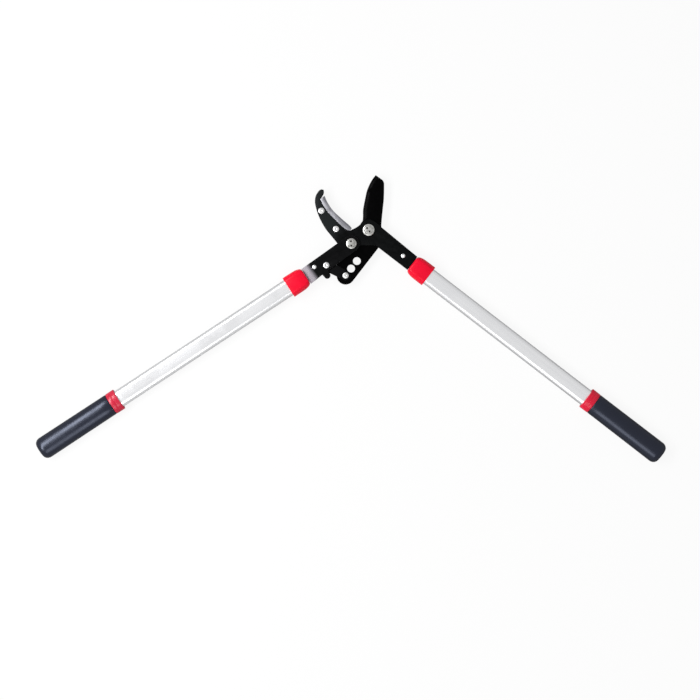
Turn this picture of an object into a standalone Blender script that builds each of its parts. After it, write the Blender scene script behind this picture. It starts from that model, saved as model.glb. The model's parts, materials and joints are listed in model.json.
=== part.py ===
"""An anvil lopper with a compound action, lying flat with its jaws open.

The tool lies in the XY plane with its jaws towards +Y, and Z is its thickness. Sizes are in
metres. The head is drawn around the main pivot, on which the blade turns. Each handle is
drawn along its own axis, which starts where the arm enters the ferrule. The last step moves
the whole tool so that its box stands on Z = 0, centred on the origin.
"""
import math

import bmesh
import bpy
from mathutils import Matrix, Vector

# Fits
GAP = 0.0003                    # play between pieces that touch or slide
CIRCLE_STEPS = 24               # sides of a round piece

# Thicknesses of the layers, counted outwards from the blade
BLADE_THICKNESS = 0.0040
PLATE_THICKNESS = 0.0030

# Pivots, seen from above, from the main pivot at (0, 0)
MAIN_PIVOT = Vector((0.0, 0.0))
HANDLE_PIVOT = Vector((-0.0292, -0.0233))
LINK_BLADE_PIVOT = Vector((-0.0389, -0.0772))
LINK_ARM_PIVOT = Vector((-0.0717, -0.0600))

# Motion, in degrees
BLADE_SWING = 59.0              # the blade turns this far until its edge meets the anvil
EDGE_SPARE_ANGLE = 0.5          # what is left of the swing when the joint stops
LINK_SLOT_HALF_ANGLE = 6.9      # the open pivot of the link slides this far each way
LINK_SLOT_RADIUS_GROWTH = 0.0004
LINK_SLOT_PLAY = 0.0009         # spare width each side of the pin in the slot

# Right handle: its axis starts at the main pivot
RIGHT_HANDLE_ANGLE = -37.6
RIGHT_ARM_LENGTH = 0.0938       # from the main pivot to the ferrule's mouth
RIGHT_ARM_UPPER = 0.0146        # half width above the axis, at the mouth
RIGHT_ARM_LOWER = 0.0129        # half width below the axis

# Left handle: its arm starts at the handle pivot, and its tube turns off a little
LEFT_ARM_ANGLE = 215.4
LEFT_ARM_LENGTH = 0.0950
LEFT_ARM_HALF_WIDTH = 0.0140
LEFT_ARM_MOUTH_LOWER = 0.0154   # the arm widens on its lower side towards the ferrule
LEFT_HANDLE_ANGLE = 213.3
JOGGLE_START = 0.0815           # from the handle pivot: the arm steps in to the tube's middle
JOGGLE_LENGTH = 0.0130
NUB_ALONG = 0.0644              # a small round stop on the arm's upper side
NUB_SIDE = 0.0198
NUB_RADIUS = 0.0056
NUB_FOOT = 0.0062               # half width of the stop where it meets the arm
NUB_SPAN = (155.0, 25.0)        # its arc, in degrees from the arm's direction

# Body plate
LOBE_RADIUS = 0.0176            # round the main pivot
LOBE_START = 138.0              # direction in which the crotch of the jaws meets the lobe
HANDLE_LOBE_RADIUS = 0.0135     # round the handle pivot
HANDLE_LOBE_SPAN = (-40.0, -125.0)
BODY_LOWER_EDGE = -0.0260
BODY_LOWER_REACH = 0.0155       # the lower edge ends this far to the right of the handle pivot
HOOK_TIP_INSIDE = Vector((-0.0762, 0.0682))
HOOK_BACK = [(-0.0800, 0.0691), (-0.0840, 0.0668), (-0.0893, 0.0587), (-0.0910, 0.0500),
             (-0.0901, 0.0413), (-0.0865, 0.0291), (-0.0814, 0.0170), (-0.0728, 0.0022),
             (-0.0658, -0.0065), (-0.0580, -0.0160), (-0.0500, -0.0262)]
HOOK_NOSE = [(-0.0822, 0.0528), (-0.0779, 0.0587), (-0.0758, 0.0640)]
CROTCH = [(-0.0276, 0.0010), (-0.0247, 0.0022), (-0.0185, 0.0058), (-0.0135, 0.0100)]

# Anvil: its face is the line that the blade's edge meets
ANVIL_FACE = [(-0.0745, 0.0581), (-0.0711, 0.0496), (-0.0658, 0.0405), (-0.0588, 0.0314),
              (-0.0502, 0.0233), (-0.0415, 0.0155), (-0.0337, 0.0090), (-0.0286, 0.0034)]
ANVIL_SEAT = [(-0.0818, 0.0524), (-0.0770, 0.0422), (-0.0711, 0.0335), (-0.0641, 0.0248),
              (-0.0554, 0.0162), (-0.0468, 0.0078), (-0.0381, 0.0008), (-0.0322, -0.0012)]
ANVIL_RIVET_UPPER = Vector((-0.0799, 0.0326))
ANVIL_RIVET_LOWER = Vector((-0.0553, 0.0017))
TONGUE_INSET = 0.0012           # the tongue ends this far inside the hook's back
TONGUE_ROOT = 0.0015            # and starts this far inside the anvil's head
TONGUE_BACK_PART = slice(5, 27)     # the points of the smooth back that it follows
TONGUE_SEAT_PART = slice(1, 19)     # and of the smooth seat

# Blade and its tail strip
BLADE_HEEL = [(-0.0252, 0.0040), (-0.0190, -0.0003)]    # end of the edge, when closed
BLADE_TIP_BACK = [(0.0240, 0.0850), (0.0262, 0.0808), (0.0266, 0.0740), (0.0260, 0.0520),
                  (0.0241, 0.0340), (0.0218, 0.0080), (0.0226, -0.0080), (0.0216, -0.0220)]
BLADE_LOBE_RADIUS = 0.0170
BLADE_LOBE_END = 140.0          # direction in which the lobe meets the edge
EDGE_WIDTH = 0.0085             # width of the ground edge, seen from above
EDGE_FLAT = 0.0005              # thickness left at the edge
STRIP_ANGLE = 52.3              # direction of the row of holes, up from the link's pivot
STRIP_HALF_WIDTH = 0.0153
STRIP_SHOULDER = 0.0040         # the back of the blade slopes into the strip over this length
STRIP_BULGE = [(0.0025, 0.0205), (0.0070, 0.0242), (0.0150, 0.0238), (0.0280, 0.0202),
               (0.0400, 0.0172), (0.0500, 0.0155)]
STRIP_HOLE_RADIUS = 0.0067
STRIP_HOLE_STEP = 0.0162        # from the open hole next to the rivet to the second one
STRIP_FIRST_HOLE = 0.0151       # from the rivet to the open hole next to it

# Link
LINK_HALF_WIDTH = 0.0089
LINK_ARM_EYE_RADIUS = 0.0114
LINK_BLADE_EYE_RADIUS = 0.0080
LINK_BLADE_EYE_OPEN = 80.0      # half angle of the blade eye that meets the bar

# Fasteners
MAIN_SHANK_RADIUS = 0.0050
MAIN_HEAD_RADIUS = 0.0105
MAIN_HEAD_HEIGHT = 0.0042
MAIN_BUSH_WALL = 0.0016
MAIN_NUT_RADIUS = 0.0096
MAIN_NUT_HEIGHT = 0.0044
MAIN_WASHER_RADIUS = 0.0108
MAIN_WASHER_HEIGHT = 0.0010
HANDLE_SHANK_RADIUS = 0.0045
HANDLE_HEAD_RADIUS = 0.0092
HANDLE_HEAD_HEIGHT = 0.0034
HANDLE_BUSH_WALL = 0.0022
HANDLE_NUT_RADIUS = 0.0084
HANDLE_NUT_HEIGHT = 0.0038
HEAD_PROFILE = [(0.78, 1.0), (0.94, 0.72), (1.0, 0.30), (0.97, 0.0)]    # shares of a head
SOCKET_RADIUS_SHARE = 0.42      # hexagon socket in a bolt head, as a share of its radius
SOCKET_DEPTH_SHARE = 0.55
RIVET_SHANK_RADIUS = 0.0030
RIVET_HEAD_RADIUS = 0.0053
RIVET_HEAD_HEIGHT = 0.0018
ANVIL_RIVET_SHANK_RADIUS = 0.0026
SMALL_RIVET_SHANK_RADIUS = 0.0018
SMALL_RIVET_HEAD_RADIUS = 0.0036
SMALL_RIVET_HEAD_HEIGHT = 0.0014
SPACER_WALL = 0.0020
RIGHT_RIVET_ALONG = 0.0733      # right arm rivet, along the handle's axis from the main pivot
RIGHT_RIVET_SIDE = 0.0010
LEFT_RIVET_ALONG = 0.0741       # small left rivet, along the arm from the handle pivot
LEFT_RIVET_SIDE = -0.0041

# Tang inside the handle
TANG_LENGTH = 0.0500            # from the ferrule's mouth
TANG_BLOCK_INSET = 0.0007       # narrower than the tang by this on each side
TANG_BLOCK_START = -0.0070
TANG_RIVET_ALONG = 0.0250
TANG_RIVET_RADIUS = 0.0030

# Tube, plug, ferrule, collar and grip, along the handle from the ferrule's mouth
TUBE_WIDTH = 0.0300
TUBE_WALL = 0.0012
TUBE_START = 0.0120
TUBE_SHOWN = 0.3447             # bare tube between ferrule and collar
RIGHT_GRIP_SHIFT = 0.0064       # the right collar and grip are pushed further on by this
TUBE_IN_GRIP = 0.1270           # in the left grip, and by the shift more in the right one
PLUG_LENGTH = 0.0380
PLUG_WALL = 0.0009              # above and below the tang
PLUG_CORNER_WALL = 0.0002       # at the corners of the tang, where the tube is round
FERRULE_LENGTH = 0.0350
FERRULE_WIDTH = 0.0378
FERRULE_SHOULDER_LENGTH = 0.0160
FERRULE_SHOULDER_WIDTH = 0.0374
FERRULE_SHOULDER_HEIGHT = 0.0259
FERRULE_MOUTH_WIDTH = 0.0264
FERRULE_MOUTH_HEIGHT = 0.0211
COLLAR_LENGTH = 0.0160
COLLAR_WIDTH = 0.0383
COLLAR_TAPER = 0.0004           # narrower by this at the grip's side
GRIP_LENGTH = 0.1445
GRIP_MOUTH_WIDTH = 0.0376
GRIP_END_WIDTH = 0.0384
GRIP_HEIGHT = 0.0264            # ferrule, collar and grip rest on one plane
GRIP_FLAT = 0.0130
GRIP_END_ROUNDING = 0.0110
GRIP_END_NARROWING = 0.0184     # the rounded end closes in by this in its width
GRIP_END_LOWERING = 0.0132      # and by this in its height
CHAMFER = 0.0008                # on the edges of ferrule, collar and grip
FLAT_SHARE = 0.6                # most of a section's width that its flat faces take
OVAL_STEPS = 6                  # steps in each quarter of an oval

# Heights of the layers
BLADE_HALF = BLADE_THICKNESS / 2
PLATE_INNER = BLADE_HALF + GAP
PLATE_OUTER = PLATE_INNER + PLATE_THICKNESS
ARM_INNER = PLATE_OUTER + GAP
ARM_OUTER = ARM_INNER + PLATE_THICKNESS

# The tube is as high as the tang in its plug, and its sides are half round
TANG_SLOT_HALF = PLATE_OUTER + GAP
PLUG_HALF = TANG_SLOT_HALF + PLUG_WALL
TUBE_HEIGHT = 2 * (PLUG_HALF + GAP + TUBE_WALL)
TUBE_FLAT = TUBE_WIDTH - TUBE_HEIGHT
PLUG_CORNER = TUBE_FLAT / 2 + math.sqrt(PLUG_HALF ** 2 - TANG_SLOT_HALF ** 2)
TANG_HALF_WIDTH = PLUG_CORNER - PLUG_CORNER_WALL - GAP

BLACK_STEEL = ((0.018, 0.019, 0.021), 0.45, 0.3)
BLADE_STEEL = ((0.006, 0.006, 0.007), 0.40, 0.2)
BRIGHT_STEEL = ((0.80, 0.79, 0.77), 0.25, 1.0)
ANVIL_METAL = ((0.42, 0.42, 0.45), 0.45, 1.0)
ALUMINIUM = ((0.78, 0.79, 0.82), 0.35, 1.0)
RED_PLASTIC = ((0.85, 0.010, 0.045), 0.35, 0.0)
GRIP_PLASTIC = ((0.014, 0.016, 0.024), 0.30, 0.0)
GREY_PLASTIC = ((0.10, 0.10, 0.11), 0.50, 0.0)


def clear_scene():
    for old in list(bpy.data.objects):
        bpy.data.objects.remove(old, do_unlink=True)


def make_collection(name):
    collection = bpy.data.collections.new(name)
    bpy.context.scene.collection.children.link(collection)
    return collection


clear_scene()
PARTS = make_collection("lopper")
CUTTERS = make_collection("lopper_cutters")


def paint(piece, finish):
    """Give a piece its own material."""
    colour, roughness, metallic = finish
    material = bpy.data.materials.new(piece.name)
    material.use_nodes = True
    shader = material.node_tree.nodes["Principled BSDF"]
    shader.inputs["Base Color"].default_value = (*colour, 1.0)
    shader.inputs["Roughness"].default_value = roughness
    shader.inputs["Metallic"].default_value = metallic
    piece.data.materials.clear()
    piece.data.materials.append(material)


def make_empty(name, parent, place, rotation=None):
    """An empty at a place that is given from the main pivot, or on its parent's axes."""
    empty = bpy.data.objects.new(name, None)
    empty.empty_display_size = 0.02
    PARTS.objects.link(empty)
    empty.parent = parent
    empty.location = place
    if rotation is not None:
        empty.rotation_euler = rotation.to_euler()
    return empty


def flat(point):
    """A plan point as a place in space."""
    return Vector((point[0], point[1], 0.0))


def direction(angle):
    return Vector((math.cos(math.radians(angle)), math.sin(math.radians(angle))))


def turned(point, centre, angle):
    """A plan point turned about a centre."""
    return centre + Matrix.Rotation(math.radians(angle), 2) @ (Vector(point) - centre)


def from_axis(start, angle, along, side):
    """The plan point at a distance along an axis, and off it to its left."""
    axis = direction(angle)
    return start + axis * along + Vector((-axis.y, axis.x)) * side


def arc(centre, radius, start, end, steps):
    """Points on an arc between two angles in degrees, both ends included."""
    return [centre + direction(start + (end - start) * i / steps) * radius
            for i in range(steps + 1)]


def circle(centre, radius):
    return arc(Vector(centre), radius, 0.0, 360.0, CIRCLE_STEPS)[:-1]


def smooth(points, steps=3):
    """A smooth curve through the points, with both end points kept."""
    points = [Vector(p) for p in points]
    padded = [points[0] * 2 - points[1]] + points + [points[-1] * 2 - points[-2]]
    curve = []
    for a, b, c, d in zip(padded, padded[1:], padded[2:], padded[3:]):
        for i in range(steps):
            t = i / steps
            curve.append(b + (c - a) * 0.5 * t
                         + (a * 2 - b * 5 + c * 4 - d) * 0.5 * t ** 2
                         + (b * 3 - a - c * 3 + d) * 0.5 * t ** 3)
    curve.append(points[-1])
    return curve


def moved_aside(points, distance):
    """A run of points moved to the right of its own direction."""
    moved = []
    for i, point in enumerate(points):
        before = points[max(i - 1, 0)]
        after = points[min(i + 1, len(points) - 1)]
        tangent = (after - before).normalized()
        moved.append(point + Vector((tangent.y, -tangent.x)) * distance)
    return moved


def flat_oval(width, height, flat_width):
    """The section of the tube: flat faces above and below, round at the sides."""
    reach = (width - flat_width) / 2
    quarter = []
    for i in range(OVAL_STEPS + 1):
        turn = math.pi / 2 * i / OVAL_STEPS
        quarter.append(Vector((flat_width / 2 + reach * math.sin(turn),
                               height / 2 * math.cos(turn))))
    right = quarter + [Vector((p.x, -p.y)) for p in reversed(quarter[:-1])]
    left = [Vector((-p.x, p.y)) for p in reversed(right)]
    return left + right


def place(piece, parent, location=(0.0, 0.0, 0.0)):
    piece.parent = parent
    piece.location = location


def outline_solid(name, outlines, low, high, collection=None):
    """A flat piece: closed outlines filled as a 2D curve and given a thickness."""
    curve = bpy.data.curves.new(name, "CURVE")
    curve.dimensions = "2D"
    curve.fill_mode = "BOTH"
    curve.extrude = (high - low) / 2
    for outline in outlines:
        spline = curve.splines.new("POLY")
        spline.points.add(len(outline) - 1)
        for point, control in zip(outline, spline.points):
            control.co = (point[0], point[1], 0.0, 1.0)
        spline.use_cyclic_u = True
    drawn = bpy.data.objects.new(name + "_outline", curve)
    PARTS.objects.link(drawn)
    bpy.context.view_layer.update()
    evaluated = drawn.evaluated_get(bpy.context.evaluated_depsgraph_get())
    mesh = bpy.data.meshes.new_from_object(evaluated)
    mesh.name = name
    bpy.data.objects.remove(drawn, do_unlink=True)
    work = bmesh.new()
    work.from_mesh(mesh)
    bmesh.ops.remove_doubles(work, verts=work.verts, dist=1e-6)
    bmesh.ops.translate(work, verts=work.verts, vec=(0.0, 0.0, (low + high) / 2))
    bmesh.ops.recalc_face_normals(work, faces=work.faces)
    work.to_mesh(mesh)
    work.free()
    piece = bpy.data.objects.new(name, mesh)
    (collection or PARTS).objects.link(piece)
    return piece


def turned_solid(name, profile):
    """A turned piece: a profile of (radius, height), from its top down its outer side."""
    mesh = bpy.data.meshes.new(name)
    edges = [(i, i + 1) for i in range(len(profile) - 1)]
    mesh.from_pydata([(radius, 0.0, height) for radius, height in profile], edges, [])
    piece = bpy.data.objects.new(name, mesh)
    PARTS.objects.link(piece)
    screw = piece.modifiers.new("turn", "SCREW")
    screw.axis = "Z"
    screw.steps = CIRCLE_STEPS
    screw.render_steps = CIRCLE_STEPS
    screw.use_merge_vertices = True
    screw.merge_threshold = 1e-6
    screw.use_smooth_shade = False
    return piece


def cylinder_ring(name, outer, inner, low, high):
    """A sleeve, spacer or washer, turned from a closed rectangle."""
    profile = [(outer, high), (outer, low), (inner, low), (inner, high), (outer, high)]
    return turned_solid(name, profile)


def loft(name, sections):
    """A solid through oval sections of (distance, width, height) along local Z."""
    work = bmesh.new()
    rings = []
    for distance, width, height in sections:
        section = flat_oval(width, height, min(GRIP_FLAT, width * FLAT_SHARE))
        rings.append([work.verts.new((p.x, p.y, distance)) for p in section])
    for lower, upper in zip(rings, rings[1:]):
        for i in range(len(lower)):
            j = (i + 1) % len(lower)
            work.faces.new((lower[i], lower[j], upper[j], upper[i]))
    work.faces.new(rings[0])
    work.faces.new(rings[-1])
    bmesh.ops.recalc_face_normals(work, faces=work.faces)
    mesh = bpy.data.meshes.new(name)
    work.to_mesh(mesh)
    work.free()
    piece = bpy.data.objects.new(name, mesh)
    PARTS.objects.link(piece)
    return piece


def join_or_cut(piece, tool, operation):
    """Boolean with a tool object, which stays as a hidden wire."""
    tool.hide_render = True
    tool.display_type = "WIRE"
    modifier = piece.modifiers.new(tool.name, "BOOLEAN")
    modifier.operation = operation
    modifier.solver = "EXACT"
    modifier.object = tool


def oval_cutter(name, width, height, flat_width, low, high):
    return outline_solid(name, [flat_oval(width, height, flat_width)], low, high, CUTTERS)


def round_cutter(name, centre, radius, half):
    tool = outline_solid(name, [circle((0.0, 0.0), radius)], -half, half, CUTTERS)
    tool.location = flat(centre)
    return tool


def domed_rim(radius, low, height, steps=4):
    """Half profile of a domed head, from its middle to its rim."""
    return [(radius * math.sin(math.pi / 2 * i / steps),
             low + height * math.cos(math.pi / 2 * i / steps)) for i in range(steps)] \
        + [(radius, low)]


def rivet(name, centre, shank, head, head_height, seat, parent, pivot):
    """A rivet with a domed head on each side of what it holds."""
    seat = seat + GAP
    top = domed_rim(head, seat, head_height)
    profile = top + [(shank, seat), (shank, -seat)] + [(r, -z) for r, z in reversed(top)]
    piece = turned_solid(name, profile)
    place(piece, parent, flat(Vector(centre) - pivot))
    paint(piece, BRIGHT_STEEL)
    return piece


def bolt(name, shank, head, head_height, seat, end, parent, location):
    """A bolt with a low round head, a chamfered rim and a hexagon socket."""
    seat = seat + GAP
    top = seat + head_height
    rim = [(head * across, seat + head_height * up) for across, up in HEAD_PROFILE]
    profile = [(0.0, top)] + rim + [(shank, seat), (shank, end), (0.0, end)]
    piece = turned_solid(name, profile)
    depth = head_height * SOCKET_DEPTH_SHARE
    hexagon = arc(Vector((0.0, 0.0)), head * SOCKET_RADIUS_SHARE, 0.0, 360.0, 6)[:-1]
    socket = outline_solid(name + "_socket", [hexagon], top - depth, top + depth, CUTTERS)
    place(piece, parent, location)
    place(socket, parent, location)
    join_or_cut(piece, socket, "DIFFERENCE")
    paint(piece, BRIGHT_STEEL)
    return piece


def nut(name, radius, bore, high, low, parent, location):
    hexagon = arc(Vector((0.0, 0.0)), radius, 0.0, 360.0, 6)[:-1]
    piece = outline_solid(name, [hexagon, circle((0.0, 0.0), bore)], low, high)
    place(piece, parent, location)
    paint(piece, BRIGHT_STEEL)
    return piece


# Places that follow from the driving sizes
RIGHT_MOUTH = from_axis(MAIN_PIVOT, RIGHT_HANDLE_ANGLE, RIGHT_ARM_LENGTH, 0.0)
LEFT_MOUTH = from_axis(HANDLE_PIVOT, LEFT_ARM_ANGLE, LEFT_ARM_LENGTH, 0.0)
RIGHT_RIVET = from_axis(MAIN_PIVOT, RIGHT_HANDLE_ANGLE, RIGHT_RIVET_ALONG, RIGHT_RIVET_SIDE)
LEFT_RIVET = from_axis(HANDLE_PIVOT, LEFT_ARM_ANGLE, LEFT_RIVET_ALONG, LEFT_RIVET_SIDE)
RIGHT_TANG_RIVET = from_axis(RIGHT_MOUTH, RIGHT_HANDLE_ANGLE, TANG_RIVET_ALONG, 0.0)
LEFT_TANG_RIVET = from_axis(LEFT_MOUTH, LEFT_HANDLE_ANGLE, TANG_RIVET_ALONG, 0.0)

# The empties that carry the bodies, each on its joint's axis
BASE = make_empty("lopper_base", None, (0.0, 0.0, 0.0))
HANDLE_EMPTY = make_empty("handle_axis", BASE, flat(HANDLE_PIVOT))
BLADE_EMPTY = make_empty("blade_axis", BASE, flat(MAIN_PIVOT))
LINK_EMPTY = make_empty("link_axis", BLADE_EMPTY, flat(LINK_BLADE_PIVOT - MAIN_PIVOT))


def handle_empty(name, parent, mouth, angle):
    """An empty whose Z runs along the handle and whose Y is the tool's thickness."""
    axis = flat(direction(angle))
    up = Vector((0.0, 0.0, 1.0))
    side = up.cross(axis)
    turn = Matrix((side, up, axis)).transposed()
    return make_empty(name, parent, flat(mouth), turn)


RIGHT_HANDLE = handle_empty("right_handle_axis", BASE, RIGHT_MOUTH, RIGHT_HANDLE_ANGLE)
LEFT_HANDLE = handle_empty("left_handle_axis", HANDLE_EMPTY, LEFT_MOUTH - HANDLE_PIVOT,
                           LEFT_HANDLE_ANGLE)


def tang_outline(mouth, angle, upper, lower):
    """The end of an arm: its shoulder at the mouth and the narrower tang inside."""
    step = -GAP
    return [from_axis(mouth, angle, step, upper),
            from_axis(mouth, angle, step, TANG_HALF_WIDTH),
            from_axis(mouth, angle, TANG_LENGTH, TANG_HALF_WIDTH),
            from_axis(mouth, angle, TANG_LENGTH, -TANG_HALF_WIDTH),
            from_axis(mouth, angle, step, -TANG_HALF_WIDTH),
            from_axis(mouth, angle, step, -lower)]


def body_plate_outline():
    """Hook, lobe, right arm and tang, clockwise from the hook's tip."""
    seat = moved_aside(smooth(ANVIL_SEAT), GAP)
    nose = smooth([HOOK_TIP_INSIDE, HOOK_NOSE[2], HOOK_NOSE[1], HOOK_NOSE[0]], 2)
    upper_angle = 90.0 + RIGHT_HANDLE_ANGLE
    lobe = arc(MAIN_PIVOT, LOBE_RADIUS, LOBE_START, upper_angle, 8)
    arm = tang_outline(RIGHT_MOUTH, RIGHT_HANDLE_ANGLE, RIGHT_ARM_UPPER, RIGHT_ARM_LOWER)
    axis = direction(RIGHT_HANDLE_ANGLE)
    side = Vector((-axis.y, axis.x))
    along = (BODY_LOWER_EDGE + side.y * RIGHT_ARM_LOWER) / axis.y
    inner_corner = from_axis(MAIN_PIVOT, RIGHT_HANDLE_ANGLE, along, -RIGHT_ARM_LOWER)
    lower = [inner_corner, Vector((HANDLE_PIVOT.x + BODY_LOWER_REACH, BODY_LOWER_EDGE))]
    handle_lobe = arc(HANDLE_PIVOT, HANDLE_LOBE_RADIUS, *HANDLE_LOBE_SPAN, 6)
    back = list(reversed(smooth(HOOK_BACK)))
    return nose + seat + smooth(CROTCH) + lobe + arm + lower + handle_lobe + back


def make_body_plates():
    holes = [circle(MAIN_PIVOT, MAIN_SHANK_RADIUS + GAP),
             circle(HANDLE_PIVOT, HANDLE_SHANK_RADIUS + GAP),
             circle(ANVIL_RIVET_UPPER, ANVIL_RIVET_SHANK_RADIUS + GAP),
             circle(ANVIL_RIVET_LOWER, ANVIL_RIVET_SHANK_RADIUS + GAP),
             circle(RIGHT_RIVET, SMALL_RIVET_SHANK_RADIUS + GAP),
             circle(RIGHT_TANG_RIVET, TANG_RIVET_RADIUS + GAP)]
    outlines = [body_plate_outline()] + holes
    front = outline_solid("body_plate_front", outlines, PLATE_INNER, PLATE_OUTER)
    back = outline_solid("body_plate_back", outlines, -PLATE_OUTER, -PLATE_INNER)
    for plate in (front, back):
        place(plate, BASE)
        paint(plate, BLACK_STEEL)


def make_anvil():
    """The grey strip in the hook: a head as wide as the plates, a tongue between them."""
    face = smooth(ANVIL_FACE)
    seat = smooth(ANVIL_SEAT)
    head = outline_solid("anvil_insert", [face + list(reversed(seat))],
                         -PLATE_OUTER, PLATE_OUTER)
    hook_back = moved_aside(smooth(HOOK_BACK), -TONGUE_INSET)[TONGUE_BACK_PART]
    inside_face = moved_aside(seat, -TONGUE_ROOT)[TONGUE_SEAT_PART]
    holes = [circle(ANVIL_RIVET_UPPER, ANVIL_RIVET_SHANK_RADIUS + GAP),
             circle(ANVIL_RIVET_LOWER, ANVIL_RIVET_SHANK_RADIUS + GAP)]
    tongue = outline_solid("anvil_tongue", [hook_back + list(reversed(inside_face))] + holes,
                           -BLADE_HALF, BLADE_HALF, CUTTERS)
    place(head, BASE)
    place(tongue, BASE)
    join_or_cut(head, tongue, "UNION")
    paint(head, ANVIL_METAL)
    rivet("anvil_rivet_upper", ANVIL_RIVET_UPPER, ANVIL_RIVET_SHANK_RADIUS, RIVET_HEAD_RADIUS,
          RIVET_HEAD_HEIGHT, PLATE_OUTER, BASE, MAIN_PIVOT)
    rivet("anvil_rivet_lower", ANVIL_RIVET_LOWER, ANVIL_RIVET_SHANK_RADIUS, RIVET_HEAD_RADIUS,
          RIVET_HEAD_HEIGHT, PLATE_OUTER, BASE, MAIN_PIVOT)


def blade_edge():
    """The edge in the open place: the anvil's face turned back by the blade's swing."""
    closed = smooth(ANVIL_FACE[:-1] + BLADE_HEEL)
    return [turned(p, MAIN_PIVOT, -(BLADE_SWING + EDGE_SPARE_ANGLE)) for p in closed]


def make_blade():
    edge = blade_edge()
    angle = STRIP_ANGLE
    strip = direction(angle)
    back = smooth(BLADE_TIP_BACK)
    strip_along = (back[-1] - LINK_BLADE_PIVOT).dot(strip) - STRIP_SHOULDER
    right_top = from_axis(LINK_BLADE_PIVOT, angle, strip_along, -STRIP_HALF_WIDTH)
    end = arc(LINK_BLADE_PIVOT, STRIP_HALF_WIDTH, angle - 90.0, angle - 270.0, 12)
    across = MAIN_PIVOT - LINK_BLADE_PIVOT
    left_side = Vector((-strip.y, strip.x))
    offset = across.dot(left_side) - STRIP_HALF_WIDTH
    reach = across.dot(strip) - math.sqrt(BLADE_LOBE_RADIUS ** 2 - offset ** 2)
    left_top = from_axis(LINK_BLADE_PIVOT, angle, reach, STRIP_HALF_WIDTH)
    toward = left_top - MAIN_PIVOT
    lobe_start = math.degrees(math.atan2(toward.y, toward.x)) % 360.0
    lobe = arc(MAIN_PIVOT, BLADE_LOBE_RADIUS, lobe_start, BLADE_LOBE_END, 8)
    bulge = [from_axis(LINK_BLADE_PIVOT, angle, *point) for point in STRIP_BULGE]
    left_edge = smooth([end[-1]] + bulge + [left_top])[1:-1]
    outline = back + [right_top] + end + left_edge + lobe + list(reversed(edge))
    blade = outline_solid("blade", [outline], -BLADE_HALF, BLADE_HALF)
    grind_edge(blade.data, edge)
    place(blade, BLADE_EMPTY)
    tools = [("blade_bore", MAIN_PIVOT, MAIN_SHANK_RADIUS + MAIN_BUSH_WALL + 2 * GAP),
             ("blade_rivet_hole", LINK_BLADE_PIVOT, RIVET_SHANK_RADIUS + GAP),
             ("blade_hole_1", from_axis(LINK_BLADE_PIVOT, angle, STRIP_FIRST_HOLE, 0.0),
              STRIP_HOLE_RADIUS),
             ("blade_hole_2", from_axis(LINK_BLADE_PIVOT, angle,
                                        STRIP_FIRST_HOLE + STRIP_HOLE_STEP, 0.0),
              STRIP_HOLE_RADIUS)]
    for name, centre, radius in tools:
        tool = round_cutter(name, centre, radius, BLADE_THICKNESS)
        tool.parent = BLADE_EMPTY
        join_or_cut(blade, tool, "DIFFERENCE")
    paint(blade, BLADE_STEEL)


def grind_edge(mesh, edge):
    """Bevel the cutting edge from both sides, much wider than it is deep.

    The blade is stretched in its thickness first, so that an even bevel on the stretched
    blade becomes a long low one when the blade is pressed flat again.
    """
    stretch = EDGE_WIDTH / (BLADE_HALF - EDGE_FLAT / 2)
    work = bmesh.new()
    work.from_mesh(mesh)
    bmesh.ops.dissolve_limit(work, angle_limit=math.radians(0.5), verts=work.verts,
                             edges=work.edges)
    bmesh.ops.scale(work, verts=work.verts, vec=(1.0, 1.0, stretch))
    on_edge = {vert for vert in work.verts
               if any((vert.co.xy - point).length < 1e-5 for point in edge)}
    rims = [e for e in work.edges if set(e.verts) <= on_edge
            and abs(e.verts[0].co.z - e.verts[1].co.z) < 1e-6]
    bmesh.ops.bevel(work, geom=rims, offset=EDGE_WIDTH, offset_type="OFFSET", segments=1,
                    profile=0.5, affect="EDGES", clamp_overlap=False)
    bmesh.ops.scale(work, verts=work.verts, vec=(1.0, 1.0, 1.0 / stretch))
    work.to_mesh(mesh)
    work.free()


def make_left_arm():
    """Two outer plates that hold the body between them and step in before the ferrule."""
    angle = LEFT_ARM_ANGLE
    width = LEFT_ARM_HALF_WIDTH
    pivot_end = arc(HANDLE_PIVOT, width, angle - 90.0, angle - 270.0, 12)
    tang = tang_outline(LEFT_MOUTH, LEFT_HANDLE_ANGLE, LEFT_ARM_MOUTH_LOWER, width)
    nub_centre = from_axis(HANDLE_PIVOT, angle, NUB_ALONG, NUB_SIDE)
    nub = arc(nub_centre, NUB_RADIUS, angle + NUB_SPAN[0], angle + NUB_SPAN[1], 6)
    near_foot = from_axis(HANDLE_PIVOT, angle, NUB_ALONG - NUB_FOOT, width)
    far_foot = from_axis(HANDLE_PIVOT, angle, NUB_ALONG + NUB_FOOT, width)
    outline = pivot_end + [near_foot] + nub + [far_foot] + tang
    holes = [circle(HANDLE_PIVOT, HANDLE_SHANK_RADIUS + GAP),
             circle(LINK_ARM_PIVOT, RIVET_SHANK_RADIUS + GAP),
             circle(LEFT_RIVET, SMALL_RIVET_SHANK_RADIUS + GAP),
             circle(LEFT_TANG_RIVET, TANG_RIVET_RADIUS + GAP)]
    for name, low, sign in (("left_arm_front", ARM_INNER, 1.0), ("left_arm_back", -ARM_OUTER, -1.0)):
        plate = outline_solid(name, [outline] + holes, low, low + PLATE_THICKNESS)
        joggle(plate.data, sign)
        place(plate, HANDLE_EMPTY, flat(-HANDLE_PIVOT))
        paint(plate, BLACK_STEEL)


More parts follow.
